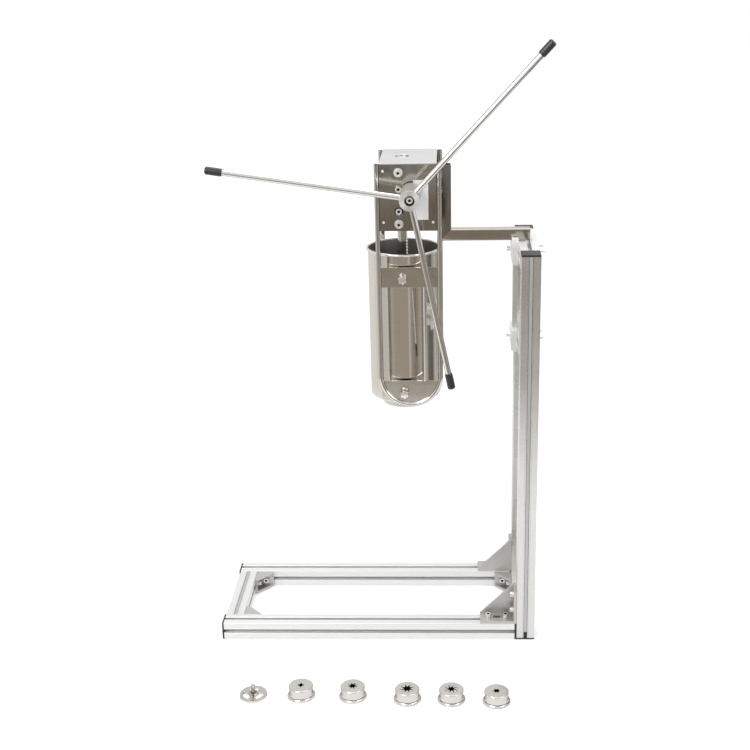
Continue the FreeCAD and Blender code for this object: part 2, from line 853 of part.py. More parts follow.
def make_clamps():
    """Clamp the leg bar to both beams."""
    clamp_shoe("clamp_shoe_upper", upper_beam_z, s.shoe_cheek)
    clamp_shoe("clamp_shoe_lower", lower_beam_z, 0)
    centre = []
    through = []
    sunk_x = shoe_left + s.shoe_counterbore
    washer_bore = M6.thread + s.screw_play
    for z in (upper_beam_z, lower_beam_z):
        for step, outer in enumerate((s.m6_washer, M6.head)):
            at = (shoe_left - s.washer_thick * step, 0, z)
            centre.append(ring("shoe_washer", outer, washer_bore, s.washer_thick, at, "-X"))
        head_x = shoe_left - s.washer_thick * 2
        centre.append(cap_screw("shoe_screw", M6, -half - head_x, (head_x, 0, z), "-X"))
        for y in (-s.shoe_bolt_y, s.shoe_bolt_y):
            length = half + s.through_bolt_end - sunk_x
            through.append(cap_screw("through_bolt", M6, length, (sunk_x, y, z), "-X"))
            seat = (half, y, z)
            through.append(ring("through_washer", s.m6_washer, washer_bore, s.washer_thick, seat, "+X"))
            blank = hexagon("through_nut_blank", s.m6_nut, s.m6_nut_height)
            bore = rod("through_nut_bore", M6.thread, s.m6_nut_height)
            at = (half + s.washer_thick, y, z)
            through.append(cut("through_nut", blank, bore, at=at, facing="+X"))
    group("shoe_screws", centre)
    group("through_bolts", through)


# Gearbox.

def gearbox_wall(name, left, screw_x):
    """Make a side wall with tapped ends for the plates' corner screws."""
    blank = box(f"{name}_blank", s.box_wall, wall_end * 2, wall_height, (left, -wall_end, box_bottom))
    tools = []
    tapped = s.corner_screw_length - s.box_plate
    for z in corner_screw_levels:
        tools.append(rod(f"{name}_tap", M5.thread, tapped, (screw_x, -wall_end, z), "+Y"))
        tools.append(rod(f"{name}_tap", M5.thread, tapped, (screw_x, wall_end, z), "-Y"))
    return blank, tools


def make_gearbox_walls():
    """Stand the two side walls; the right one is tapped for the hanger's screws too."""
    blank, tools = gearbox_wall("wall_left", box_left, corner_screw_sides[0])
    node(cut("wall_left", blank, *tools), "wall_left")
    blank, tools = gearbox_wall("wall_right", box_right - s.box_wall, corner_screw_sides[1])
    tapped = s.hanger_screw_length - s.hanger_plate_thick
    for y in (-s.hanger_screw_y, s.hanger_screw_y):
        for rise in (-s.hanger_screw_z, s.hanger_screw_z):
            at = (box_right, y, hanger_plate_z + rise)
            tools.append(rod("wall_right_tap", M6.thread, tapped, at, "-X"))
    node(cut("wall_right", blank, *tools), "wall_right")


def make_gearbox_plates():
    """Close the gearbox with front, back and bottom plates and the cover."""
    holes = [(x - box_x, z - wall_z, M5.thread + s.screw_play) for x, z in corner_screws]
    screw_bore = M8.thread + s.screw_play
    holes += [(guide_screw_x - box_x, z - wall_z, screw_bore) for z in guide_screw_heights]
    holes.append((guide_screw_x - box_x, sunk_screw_z - wall_z, s.guide_access))
    holes.append((shaft_x - box_x, shaft_height - wall_z, s.bush_radius))
    offset = s.box_depth / 2 - s.box_plate / 2
    for name, y in (("plate_front", -offset), ("plate_back", offset)):
        size = (s.box_width, wall_height, s.box_plate)
        node(plate(name, "XZ_Plane", *size, (box_x, y, wall_z), holes), name)
    inside = s.box_width - s.box_wall * 2
    rack_hole = [(-s.box_shift, 0, s.rack_radius + s.running_gap)]
    at = (box_x, 0, box_bottom + s.box_floor / 2)
    node(plate("plate_bottom", "XY_Plane", inside, wall_end * 2, s.box_floor, at, rack_hole), "plate_bottom")
    at = (box_x, 0, box_top + s.cover_thick / 2)
    opening = [(-s.box_shift, 0, s.cover_hole)]
    node(plate("cover", "XY_Plane", s.box_width, s.box_depth, s.cover_thick, at, opening), "cover")
    label_y = box_front - s.label_thick
    sheet_size = (s.label_width, s.label_thick, s.label_height)
    blank = box("label_blank", *sheet_size, (box_x + s.label_left, label_y, shaft_height - s.label_drop))
    notch_radius = s.bush_flange + s.side_gap
    notch = rod("label_notch", notch_radius, s.label_thick, (shaft_x, label_y, shaft_height), "+Y")
    node(cut("label_plate", blank, notch), "label_plate")


def button_screw(name, screw, length, at, facing):
    """Make a low domed socket screw."""
    rounding = (screw.head * screw.head + screw.head_height * screw.head_height) / (screw.head_height * 2)
    body = turned(name, [
        (0, -length),
        (screw.thread, -length),
        (screw.thread, 0),
        (screw.head, 0),
        Arc(0, screw.head_height, rounding, 1),
    ], at, facing)
    sketch = new_sketch(body, "XY_Plane", screw.head_height)
    corners = [(screw.socket * cosine(60 * step), screw.socket * sine(60 * step)) for step in range(6)]
    draw(sketch, corners)
    pocket(body, sketch, screw.socket_depth)
    return body


def make_gearbox_screws():
    """Fit the corner screws and the screws of the guide blocks, front and back alike."""
    corner = []
    for x, z in corner_screws:
        for facing, y in (("-Y", box_front), ("+Y", -box_front)):
            corner.append(button_screw("corner_screw", M5, s.corner_screw_length, (x, y, z), facing))
    group("gearbox_screws", corner)
    guide = []
    for facing, y in (("-Y", box_front), ("+Y", -box_front)):
        for z in guide_screw_heights:
            seat = (guide_screw_x, y, z)
            if z is not plain_screw_z:
                bore = M8.thread + s.screw_play
                guide.append(ring("guide_washer", s.guide_washer, bore, s.washer_thick, seat, facing))
                seat = along(seat, facing, s.washer_thick)
            guide.append(cap_screw("guide_screw", M8, s.guide_screw_length, seat, facing))
        sunk = s.box_plate + s.guide_access_depth
        seat = along((guide_screw_x, y, sunk_screw_z), facing, -sunk)
        guide.append(cap_screw("guide_screw", M8, s.guide_screw_length - sunk, seat, facing))
    group("guide_screws", guide)


def make_guides():
    """Make the two blocks that hold the back of the rack, front and back halves."""
    left = barrel_x - s.guide_left
    width = s.guide_left + s.guide_right
    bottom = box_bottom + s.box_floor
    height = shaft_height + s.guide_above_shaft - bottom
    for name, low_y, facing, plate_y in (
        ("guide_front", -wall_end, "+Y", -wall_end),
        ("guide_back", 0, "-Y", wall_end),
    ):
        blank = box(f"{name}_blank", width, wall_end, height, (left, low_y, bottom))
        groove = rod(f"{name}_groove", s.rack_radius + s.running_gap, height, (barrel_x, 0, bottom))
        tools = [groove]
        for z in (*guide_screw_heights, sunk_screw_z):
            tapped = s.guide_screw_length - s.box_plate
            tools.append(rod(f"{name}_tap", M8.thread, tapped, (guide_screw_x, plate_y, z), facing))
        at = (guide_screw_x, plate_y, sunk_screw_z)
        tools.append(rod(f"{name}_access", s.guide_access, s.guide_access_depth, at, facing))
        node(cut(name, blank, *tools), name)


def make_bushes():
    """Press a flanged bush into the front and the back plate."""
    bore = s.shaft_radius + s.running_gap
    depth = s.box_plate + s.bush_inside
    outline = [
        (bore, -depth),
        (s.bush_radius, -depth),
        (s.bush_radius, 0),
        (s.bush_flange, 0),
        (s.bush_flange, s.bush_flange_thick),
        (bore, s.bush_flange_thick),
    ]
    places = (("-Y", box_front), ("+Y", -box_front))
    bushes = [turned("shaft_bush", outline, (shaft_x, y, shaft_height), facing) for facing, y in places]
    group("shaft_bushes", bushes)


# Hand wheel: shaft, pinion, hub, three handles.

def make_shaft():
    """Run the shaft from the hub's socket through the gearbox to its collar."""
    back = bush_end + s.shaft_back_end
    front = (shaft_x, socket_floor, shaft_height)
    bar = rod("pinion_shaft_bar", s.shaft_radius, back - socket_floor, front, "+Y")
    tap = rod("pinion_shaft_tap", M8.thread, s.hub_screw_length, front, "+Y")
    node(cut("pinion_shaft", bar, tap), "pinion_shaft")
    behind = (shaft_x, bush_end + s.side_gap, shaft_height)
    node(ring("shaft_collar", s.collar_radius, s.shaft_radius, s.collar_length, behind, "+Y"), "shaft_collar")
    node(cap_screw("hub_screw", M8, s.hub_screw_length, front, "-Y"), "hub_screw")


def cell(alias):
    """Read a plain number from the sheet."""
    return float(sheet.get(alias))


def involute_flank(base, outer, steps=6):
    """List points of an involute from the base circle to the outer radius, as radius and angle."""
    points = []
    for step in range(steps + 1):
        radius = base + (outer - base) * step / steps
        roll = math.sqrt(max((radius / base) ** 2 - 1, 0))
        points.append((radius, roll - math.atan(roll)))
    return points


def make_pinion():
    """Make the involute pinion with one tooth pointing at the rack."""
    teeth = int(cell("pinion_teeth"))
    pitch = cell("gear_module") * teeth / 2
    pressure = math.radians(cell("pressure_angle"))
    base = pitch * math.cos(pressure)
    outer = pitch + cell("pinion_addendum")
    root = pitch - cell("gear_dedendum")
    thickness = math.pi * cell("gear_module") / 2 - cell("mesh_gap")
    base_half_angle = thickness / 2 / pitch + math.tan(pressure) - pressure
    flank = [(root, 0)] + involute_flank(base, outer)

    def point(radius, angle):
        return Vector(-radius * math.cos(angle), 0, radius * math.sin(angle))

    corners = []
    for tooth in range(teeth):
        middle = 2 * math.pi * tooth / teeth
        corners += [point(radius, middle - base_half_angle + angle) for radius, angle in flank]
        corners += [point(radius, middle + base_half_angle - angle) for radius, angle in reversed(flank)]
    face = Part.Face(Part.makePolygon(corners + corners[:1]))
    width = cell("pinion_width")
    solid = face.extrude(Vector(0, width, 0))
    bore = Part.makeCylinder(cell("shaft_radius"), width, Vector(), Vector(0, 1, 0))
    pinion = named("Part::Feature", "pinion")
    pinion.Shape = solid.cut(bore)
    place(pinion, (shaft_x, -s.pinion_width / 2, shaft_height))
    node(pinion, "pinion")


def toward(angle):
    """Turn an object's own Z axis to an angle in the wheel's plane, measured from +X up."""
    return Rotation(Vector(0, 1, 0), 90 - float(angle))


def on_spoke(angle, radius):
    """Find the point of a handle's axis at a radius from the shaft's axis."""
    return (shaft_x + radius * cosine(angle), handle_y, shaft_height + radius * sine(angle))


def make_wheel():
    """Make the hub and its three handles with their grips."""
    outline = [
        (s.shaft_radius, 0),
        (s.hub_boss_radius, 0),
        (s.hub_boss_radius, s.hub_boss_length),
        (s.hub_radius, s.hub_boss_length),
        (s.hub_radius, hub_total - s.hub_chamfer),
        (s.hub_radius - s.hub_chamfer, hub_total),
        (s.hub_socket_radius, hub_total),
        (s.hub_socket_radius, hub_total - s.hub_socket_depth),
        (s.shaft_radius, hub_total - s.hub_socket_depth),
    ]
    blank = turned("hub_blank", outline, (shaft_x, hub_back, shaft_height), "-Y")
    rods = []
    grips = []
    sockets = []
    rod_end = s.handle_reach - s.grip_end
    for angle in handle_angles:
        bore = rod("hub_bore", s.handle_radius, s.hub_radius)
        sockets.append(place(bore, on_spoke(angle, s.handle_root), toward(angle)))
        handle = rod("handle_rod", s.handle_radius, rod_end - s.handle_root)
        rods.append(place(handle, on_spoke(angle, s.handle_root), toward(angle)))
        grip = turned("handle_grip", [
            (s.handle_radius, 0),
            (s.grip_radius, 0),
            (s.grip_radius, s.grip_length - s.grip_round),
            (s.grip_radius - s.grip_round, s.grip_length),
            (0, s.grip_length),
            (0, s.grip_length - s.grip_end),
            (s.handle_radius, s.grip_length - s.grip_end),
        ])
        grips.append(place(grip, on_spoke(angle, s.handle_reach - s.grip_length), toward(angle)))
    node(cut("hub", blank, *sockets), "hub")
    group("handle_rods", rods)
    group("handle_grips", grips)


# Rack and piston.

def make_rack():
    """Mill a flat and a row of tooth gaps into the round bar."""
    pitch = s.gear_module * math.pi
    length = shaft_height + s.rack_above_shaft - piston_top
    body = new_body("rack", (barrel_x, 0, piston_top))
    bar = new_sketch(body, "XY_Plane")
    draw_circle(bar, 0, 0, s.rack_radius)
    pad(body, bar, length, "One side")
    tip = s.rack_pitch_line + s.rack_addendum
    root = s.rack_pitch_line - s.gear_dedendum
    clear = s.rack_radius * 2
    lowest = shaft_height - piston_top - pitch * (s.rack_teeth - 1 - s.rack_teeth_above)
    flat = new_sketch(body, "XZ_Plane")
    draw(flat, rectangle(tip, lowest - pitch / 2, clear, length + pitch))
    pocket(body, flat, clear)
    slope = tangent(s.pressure_angle)
    middle = (pitch / 2 + s.mesh_gap) / 2
    at_tip = middle + slope * (s.rack_addendum + clear)
    at_root = middle - slope * s.gear_dedendum
    gap = new_sketch(body, "XZ_Plane")
    far = tip + clear
    draw(gap, [
        (root, lowest - at_root),
        (far, lowest - at_tip),
        (far, lowest + at_tip),
        (root, lowest + at_root),
    ])
    tooth_gap = pocket(body, gap, clear)
    row = body.newObject("PartDesign::LinearPattern", "rack_row")
    row.Originals = [tooth_gap]
    row.Direction = (gap, ["V_Axis"])
    row.Mode = "Spacing"
    bind(row, "Offset", pitch)
    bind(row, "Occurrences", s.rack_teeth)
    body.Tip = row
    doc.recompute()
    drill(body, "XY_Plane", [(0, 0)], M10.thread, s.piston_screw_grip)
    node(body, "rack")


def make_piston():
    """Make the piston, its seal and the screw that holds it to the rack."""
    seal_low = piston_shoulder - piston_bottom + s.seal_up
    land_radius = barrel_bore - s.piston_gap
    groove = land_radius - s.seal_depth
    height = piston_top - piston_bottom
    bore = M10.thread + s.screw_play
    piston = turned("piston", [
        (s.piston_recess_radius, 0),
        (cone_floor - s.piston_gap, 0),
        (land_radius, piston_shoulder - piston_bottom),
        (land_radius, seal_low),
        (groove, seal_low),
        (groove, seal_low + s.seal_height),
        (land_radius, seal_low + s.seal_height),
        (land_radius, height),
        (bore, height),
        (bore, s.piston_recess_depth),
        (s.piston_recess_radius, s.piston_recess_depth),
    ], (barrel_x, 0, piston_bottom))
    node(piston, "piston")
    seal_at = (barrel_x, 0, piston_bottom + seal_low)
    node(ring("piston_seal", barrel_bore - s.seal_gap, groove, s.seal_height, seal_at, "+Z"), "piston_seal")
    length = height - s.piston_recess_depth + s.piston_screw_grip
    screw_at = (barrel_x, 0, piston_bottom + s.piston_recess_depth)
    node(cap_screw("piston_screw", M10, length, screw_at, "-Z"), "piston_screw")


# Cradle and barrel.

def make_hoops():
    """Bend a rod into each hoop: two legs welded along the gearbox and a half circle under the barrel."""
    for name, y in (("hoop_front", -s.hoop_plane), ("hoop_back", s.hoop_plane)):
        length = hoop_top - hoop_centre
        legs = []
        for x in (box_x - hoop_radius, box_x + hoop_radius):
            legs.append(rod(f"{name}_leg", s.hoop_rod, length, (x, y, hoop_centre)))
        bend = sized(
            "Part::Torus", f"{name}_bend", (box_x, y, hoop_centre), "+Y",
            Radius1=hoop_radius, Radius2=s.hoop_rod, Angle3=180,
        )
        node(joined(name, *legs, bend), name)


def make_cradle_plates():
    """Weld a strap across the legs of each hoop and a round toe plate into its bend."""
    straps = []
    toes = []
    for low_y in (-s.hoop_plane, s.hoop_plane - s.cradle_plate):
        middle_y = low_y + s.cradle_plate / 2
        hole = [(-s.box_shift, stud_high - strap_z, M10.thread + s.screw_play)]
        size = (s.box_width, s.strap_width, s.cradle_plate)
        straps.append(plate("strap", "XZ_Plane", *size, (box_x, middle_y, strap_z), hole))
        disc = rod("toe_disc", s.box_width / 2, s.cradle_plate, (box_x, low_y, hoop_centre), "+Y")
        over = box(
            "toe_over", s.box_width, s.cradle_plate, s.box_width,
            (box_left, low_y, barrel_underside + s.toe_plate_rise),
        )
        bore = rod("toe_bore", M10.thread + s.screw_play, s.cradle_plate, (barrel_x, low_y, stud_low), "+Y")
        toes.append(cut("toe_plate", disc, over, bore))
    group("cradle_straps", straps)
    group("toe_plates", toes)


def make_barrel_fixings():
    """Weld studs to the barrel and hold them in the cradle with acorn nuts."""
    studs = []
    nuts = []
    plate_back = s.hoop_plane - s.cradle_plate
    base_length = plate_back - barrel_bore
    thread_length = base_length + s.cradle_plate + s.stud_reach
    over = s.stud_base_radius * 2
    for facing, sign in (("-Y", -1), ("+Y", 1)):
        for z in (stud_high, stud_low):
            start = (barrel_x, barrel_bore * sign, z)
            base = rod("stud_base", s.stud_base_radius, base_length, start, facing)
            thread = rod("stud_thread", M10.thread, thread_length, start, facing)
            shell = rod("stud_shell", s.barrel_radius, over * 2, (barrel_x, 0, z - over))
            studs.append(cut("barrel_stud", joined("stud_blank", base, thread), shell))
            prism = hexagon("acorn_hex", s.acorn_radius, s.acorn_hex_height)
            dome = sized("Part::Sphere", "acorn_dome", (0, 0, s.acorn_hex_height), "+Z", Radius=s.acorn_dome)
            dome.Angle1 = 0
            bore = rod("acorn_bore", M10.thread, s.acorn_bore)
            at = (barrel_x, s.hoop_plane * sign, z)
            nuts.append(cut("acorn_nut", joined("acorn_blank", prism, dome), bore, at=at, facing=facing))
    group("barrel_studs", studs)
    group("acorn_nuts", nuts)


def make_barrel():
    """Spin the barrel with its beaded rim, coned foot and threaded neck, and its ring nut."""
    bead = s.barrel_bead
    bead_z = barrel_top - bead
    neck_z = barrel_underside - s.neck_length
    barrel = turned("barrel", [
        (s.nozzle_seat_radius, neck_z),
        (s.neck_radius, neck_z),
        (s.neck_radius, barrel_underside),
        (s.barrel_toe_radius, barrel_underside),
        (s.barrel_radius, barrel_waist),
        (s.barrel_radius, bead_z - bead),
        (barrel_bore + bead, bead_z - bead),
        Arc(barrel_bore + bead * 2, bead_z, bead, 1),
        Arc(barrel_bore + bead, barrel_top, bead, 1),
        Arc(barrel_bore, bead_z, bead, 1),
        (barrel_bore, cone_top),
        (cone_floor, floor_z),
        (s.nozzle_seat_radius, floor_z),
    ], (barrel_x, 0, 0))
    node(barrel, "barrel")
    thread = s.neck_radius + s.ring_nut_gap
    bottom = neck_z - s.ring_nut_lip
    nut = turned("ring_nut_blank", [
        (s.ring_nut_opening, bottom),
        (s.ring_nut_radius, bottom),
        (s.ring_nut_radius, barrel_underside),
        (thread, barrel_underside),
        (thread, neck_z),
        (s.ring_nut_opening, neck_z),
    ], (barrel_x, 0, 0))
    holes = []
    level = (bottom + barrel_underside) / 2
    for facing in ("+X", "-X", "+Y", "-Y"):
        start = along((barrel_x, 0, level), facing, s.ring_nut_radius - s.spanner_hole_depth)
        holes.append(rod("spanner_hole", s.spanner_hole_radius, s.spanner_hole_depth * 2, start, facing))
    node(cut("ring_nut", nut, *holes), "ring_nut")


# Loose set.

def make_nozzle(mouth):
    """Turn a flanged nozzle and cut its star mouth."""
    name = f"nozzle_{mouth}"
    at = (getattr(s, f"{mouth}_x"), getattr(s, f"{mouth}_y"), 0)
    body = turned(name, [
        (s.nozzle_cavity_bottom, 0),
        (s.nozzle_flange_radius, 0),
        (s.nozzle_flange_radius, s.nozzle_flange_height),
        (s.nozzle_neck_bottom, s.nozzle_flange_height),
        Arc(s.nozzle_waist_top, s.nozzle_disc_bottom, s.nozzle_waist_radius, -1),
        (s.nozzle_disc_radius, s.nozzle_disc_bottom),
        (s.nozzle_disc_radius, s.nozzle_height - s.nozzle_disc_edge),
        (s.nozzle_disc_radius - s.nozzle_disc_edge, s.nozzle_height),
        (0, s.nozzle_height),
        (0, s.nozzle_height - s.nozzle_mouth_land),
        (s.nozzle_cavity_top, s.nozzle_height - s.nozzle_mouth_land),
    ], at)
    sketch = new_sketch(body, "XY_Plane", s.nozzle_height)
    tip_and_root = (getattr(s, f"{mouth}_outer"), getattr(s, f"{mouth}_inner"))
    star = []
    points = int(cell(f"{mouth}_points"))
    for step in range(points * 2):
        radius = tip_and_root[step % 2]
        angle = 180 * step / points + getattr(s, f"{mouth}_turn")
        star.append((radius * cosine(angle), radius * sine(angle)))
    draw(sketch, star)
    pocket(body, sketch, s.nozzle_height)
    node(body, name)


def make_core_disc():
    """Make the disc with a centre pin that forms hollow churros."""
    body = turned("core_disc", [
        (0, 0),
        (s.core_disc_radius, 0),
        (s.core_disc_radius, s.core_disc_thick),
        (s.core_collar_radius, s.core_disc_thick),
        (s.core_collar_radius, s.core_collar_height),
        (s.core_cup_radius, s.core_collar_height),
        (s.core_cup_radius, s.core_disc_thick),
        (s.core_pin_radius, s.core_disc_thick),
        (s.core_pin_radius, s.core_pin_height),
        (0, s.core_pin_height),
    ], (s.core_disc_x, s.core_disc_y, 0))
    slots = new_sketch(body, "XY_Plane")
    for middle in (90, 210, 330):
        start = middle - s.core_slot_half_angle
        end = middle + s.core_slot_half_angle
        inner = s.core_slot_inner
        outer = s.core_slot_outer
        draw(slots, [
            (inner * cosine(start), inner * sine(start)),
            (outer * cosine(start), outer * sine(start)),
            Arc(outer * cosine(end), outer * sine(end), outer, 1),
            (inner * cosine(end), inner * sine(end)),
        ])
    pocket(body, slots, s.core_disc_thick)
    node(body, "core_disc")


def check_and_export():
    """Stop on any failed object, then write each sub-part."""
    doc.recompute()
    failed = [obj.Label for obj in doc.Objects if {"Invalid", "Error"} & set(obj.State)]
    if failed:
        raise RuntimeError(f"failed objects: {failed}")
    for name, obj in nodes.items():
        shape = obj.Shape
        if shape.isNull() or not shape.isValid() or not shape.Solids:
            raise RuntimeError(f"no valid solid in {name}")
    os.makedirs("parts", exist_ok=True)
    for name, obj in nodes.items():
        obj.Shape.exportStep(f"parts/{name}.step")
        print(f"{name}: {len(obj.Shape.Solids)} solid(s), {obj.Shape.Volume / 1000:.2f} cm3")


make_stand()
make_end_caps()
make_brackets_and_bolts()
make_hanger()
make_clamps()
make_gearbox_walls()
make_gearbox_plates()
make_gearbox_screws()
make_guides()
make_bushes()
make_shaft()
make_pinion()
make_wheel()
make_rack()
make_piston()
make_hoops()
make_cradle_plates()
make_barrel_fixings()
make_barrel()
for mouth_name in MOUTHS:
    make_nozzle(mouth_name)
make_core_disc()
check_and_export()
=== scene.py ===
"""Churro press on its profile stand: fine forms, finishes, studio and camera.

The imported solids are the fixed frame. Each sub-assembly is a class that holds its sizes,
builds its meshes over those solids and dresses them in the finishes listed below.
"""

from __future__ import annotations

import logging
import math
from collections.abc import Callable, Iterable, Sequence
from dataclasses import dataclass, field, replace
from enum import Enum
from typing import NamedTuple

import bmesh
import bpy
from mathutils import Matrix, Vector

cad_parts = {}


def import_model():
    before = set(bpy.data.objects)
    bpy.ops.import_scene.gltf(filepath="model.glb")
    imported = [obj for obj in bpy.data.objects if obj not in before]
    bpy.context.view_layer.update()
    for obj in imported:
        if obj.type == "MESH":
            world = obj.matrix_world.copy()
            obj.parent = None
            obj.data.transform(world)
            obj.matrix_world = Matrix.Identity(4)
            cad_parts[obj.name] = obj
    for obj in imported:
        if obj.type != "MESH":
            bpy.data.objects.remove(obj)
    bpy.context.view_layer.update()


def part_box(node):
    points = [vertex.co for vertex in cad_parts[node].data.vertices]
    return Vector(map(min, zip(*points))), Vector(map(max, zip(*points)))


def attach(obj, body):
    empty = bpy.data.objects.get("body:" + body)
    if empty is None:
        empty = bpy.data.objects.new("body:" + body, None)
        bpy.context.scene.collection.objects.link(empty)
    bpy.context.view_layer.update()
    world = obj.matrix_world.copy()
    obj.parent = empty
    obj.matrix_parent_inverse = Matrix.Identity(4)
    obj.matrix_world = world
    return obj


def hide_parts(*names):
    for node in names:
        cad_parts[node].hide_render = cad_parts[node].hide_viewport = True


LOG = logging.getLogger("churro_press")
MM = 0.001
FULL_TURN = 2 * math.pi
TINY = 1e-6


def linear(code: str) -> tuple[float, float, float, float]:
    """Turn an sRGB hex colour such as #a0b0c0 into linear RGBA."""
    parts = [int(code[place:place + 2], 16) / 255 for place in (1, 3, 5)]
    return (*[part / 12.92 if part <= 0.04045 else ((part + 0.055) / 1.055) ** 2.4 for part in parts], 1.0)


def add_node(
    tree: bpy.types.NodeTree, kind: str, sources: dict | None = None, **settings: object
) -> bpy.types.Node:
    """Add a node with its settings and links.

    Args:
        tree: The node tree that gets the node.
        kind: The node's type name.
        sources: For each input, by name or place, a plain value or the socket that feeds it.
        **settings: Properties of the node itself.

    Returns:
        The new node.
    """
    made = tree.nodes.new(kind)
    for name, value in settings.items():
        setattr(made, name, value)
    for key, value in (sources or {}).items():
        if isinstance(value, bpy.types.NodeSocket):
            tree.links.new(value, made.inputs[key])
        else:
            made.inputs[key].default_value = value
    return made


def blank_tree(owner: bpy.types.Material | bpy.types.World) -> bpy.types.NodeTree:
    """Switch a material or a world to nodes and return its tree, emptied."""
    owner.use_nodes = True
    owner.node_tree.nodes.clear()
    return owner.node_tree


# Finishes.


class Axis(Enum):
    """The direction that a brushed or drawn grain runs in."""

    X = 0
    Y = 1
    Z = 2


@dataclass(frozen=True)
class Finish:
    """A surface as it is made: its colours, its gloss and the fine relief of its making.

    Attributes:
        title: The material's name.
        slot: The record's material slot; not used.
        colour: Main colour, sRGB.
        dark: Colour in the low parts of the pattern, sRGB.
        metallic: 1 for bare metal, 0 for plastics and rubber.
        gloss: Lowest and highest roughness over the pattern.
        relief: Height of the pattern in mm.
        cloud: Size in mm of the soft patches that handling and casting leave.
        patchy: How much those patches change the roughness.
        edge: Tint of the reflection at a glancing angle, sRGB.
    """

    title: str
    slot: str
    colour: str
    dark: str
    metallic: float
    gloss: tuple[float, float]
    relief: float = 0.02
    cloud: float = 60.0
    patchy: float = 0.04
    edge: str = "#ffffff"

    def pattern(self, tree: bpy.types.NodeTree) -> bpy.types.NodeSocket:
        """Build the pattern.

        Args:
            tree: The material's tree.

        Returns:
            The socket that gives the pattern, 0 to 1.
        """
        raise NotImplementedError

    def lay(self, tree: bpy.types.NodeTree) -> dict[str, object]:
        """Build what else the way of making asks of the shader.

        Args:
            tree: The material's tree.

        Returns:
            More inputs for the shader, by name.
        """
        return {}

    def material(self) -> bpy.types.Material:
        """Build the material once, and return it each time."""
        known = bpy.data.materials.get(self.title)
        if known:
            return known
        made = bpy.data.materials.new(self.title)
        tree = blank_tree(made)
        pattern = self.pattern(tree)
        place = add_node(tree, "ShaderNodeTexCoord").outputs["Object"]
        patches = add_node(
            tree, "ShaderNodeTexNoise",
            {"Vector": place, "Scale": 1 / (self.cloud * MM), "Detail": 3.0, "Roughness": 0.55},
        ).outputs["Fac"]
        low, high = self.gloss
        fine = add_node(tree, "ShaderNodeMapRange", {"Value": pattern, "To Min": low, "To Max": high})
        soft = add_node(
            tree, "ShaderNodeMapRange",
            {"Value": patches, "From Min": 0.3, "From Max": 0.7, "To Min": -self.patchy, "To Max": self.patchy},
        )
        rough = add_node(
            tree, "ShaderNodeMath", {0: fine.outputs[0], 1: soft.outputs[0]}, operation="ADD", use_clamp=True
        )
        tone = add_node(
            tree, "ShaderNodeMix", {0: pattern, 6: linear(self.dark), 7: linear(self.colour)}, data_type="RGBA"
        )
        bump = add_node(
            tree, "ShaderNodeBump", {"Height": pattern, "Strength": 1.0, "Distance": self.relief * MM}
        )
        shader = add_node(
            tree, "ShaderNodeBsdfPrincipled",
            {
                "Base Color": tone.outputs[2],
                "Metallic": self.metallic,
                "Roughness": rough.outputs[0],
                "Normal": bump.outputs[0],
                "Specular Tint": linear(self.edge),
                **self.lay(tree),
            },
        )
        add_node(tree, "ShaderNodeOutputMaterial", {"Surface": shader.outputs[0]})
        return made


@dataclass(frozen=True)
class Brushed(Finish):
    """Metal with a straight grain: fine lines of a width and a run, in mm, along one axis."""

    axis: Axis = Axis.Z
    line: float = 1.5
    run: float = 90.0

    def pattern(self, tree: bpy.types.NodeTree) -> bpy.types.NodeSocket:
        """Stretch noise along the grain."""
        stretch = [1 / (self.line * MM)] * 3
        stretch[self.axis.value] = 1 / (self.run * MM)
        place = add_node(tree, "ShaderNodeTexCoord").outputs["Object"]
        lines = add_node(tree, "ShaderNodeMapping", {"Vector": place, "Scale": stretch}).outputs[0]
        return add_node(
            tree, "ShaderNodeTexNoise", {"Vector": lines, "Scale": 1.0, "Detail": 3.0, "Roughness": 0.6}
        ).outputs["Fac"]


@dataclass(frozen=True)
class Turned(Finish):
    """Metal from the lathe: rings of a spacing in mm, which follow the piece's own turning map.

    The rings spread a highlight across themselves, by the share given as fan.
    """

    ring: float = 1.4
    run: float = 60.0
    fan: float = 0.0

    def pattern(self, tree: bpy.types.NodeTree) -> bpy.types.NodeSocket:
        """Stretch noise round the piece, across its outline."""
        place = add_node(tree, "ShaderNodeUVMap", uv_map="turning").outputs[0]
        stretch = (1 / (self.run * MM), 1 / (self.ring * MM), 1.0)
        rings = add_node(tree, "ShaderNodeMapping", {"Vector": place, "Scale": stretch}).outputs[0]
        return add_node(
            tree, "ShaderNodeTexNoise", {"Vector": rings, "Scale": 1.0, "Detail": 2.0, "Roughness": 0.5}
        ).outputs["Fac"]

    def lay(self, tree: bpy.types.NodeTree) -> dict[str, object]:
        """Lay the highlight across the rings, where the finish has a fan."""
        if not self.fan:
            return {}
        tangent = add_node(tree, "ShaderNodeTangent", direction_type="UV_MAP", uv_map="turning")
        return {"Anisotropic": self.fan, "Tangent": tangent.outputs[0]}


@dataclass(frozen=True)
class Grained(Finish):
    """A surface with an even all-over grain, such as a casting, a moulding or rubber."""

    grain: float = 1.2

    def pattern(self, tree: bpy.types.NodeTree) -> bpy.types.NodeSocket:
        """Fill the surface with fine noise."""
        place = add_node(tree, "ShaderNodeTexCoord").outputs["Object"]
        return add_node(
            tree, "ShaderNodeTexNoise",
            {"Vector": place, "Scale": 1 / (self.grain * MM), "Detail": 4.0, "Roughness": 0.65},
        ).outputs["Fac"]


# Silver anodised extrusion: matt and pale, with faint drawing lines along the bar. The oxide on it
# scatters a share of the light, so the rails aren't all metallic.
PROFILE_X = Brushed(
    "anodised aluminium drawn along X", "aluminium_profile", "#e4e4e3", "#dadad9", 0.8, (0.42, 0.52), 0.004,
    axis=Axis.X, run=220.0,
)
PROFILE_Y = replace(PROFILE_X, title="anodised aluminium drawn along Y", axis=Axis.Y)
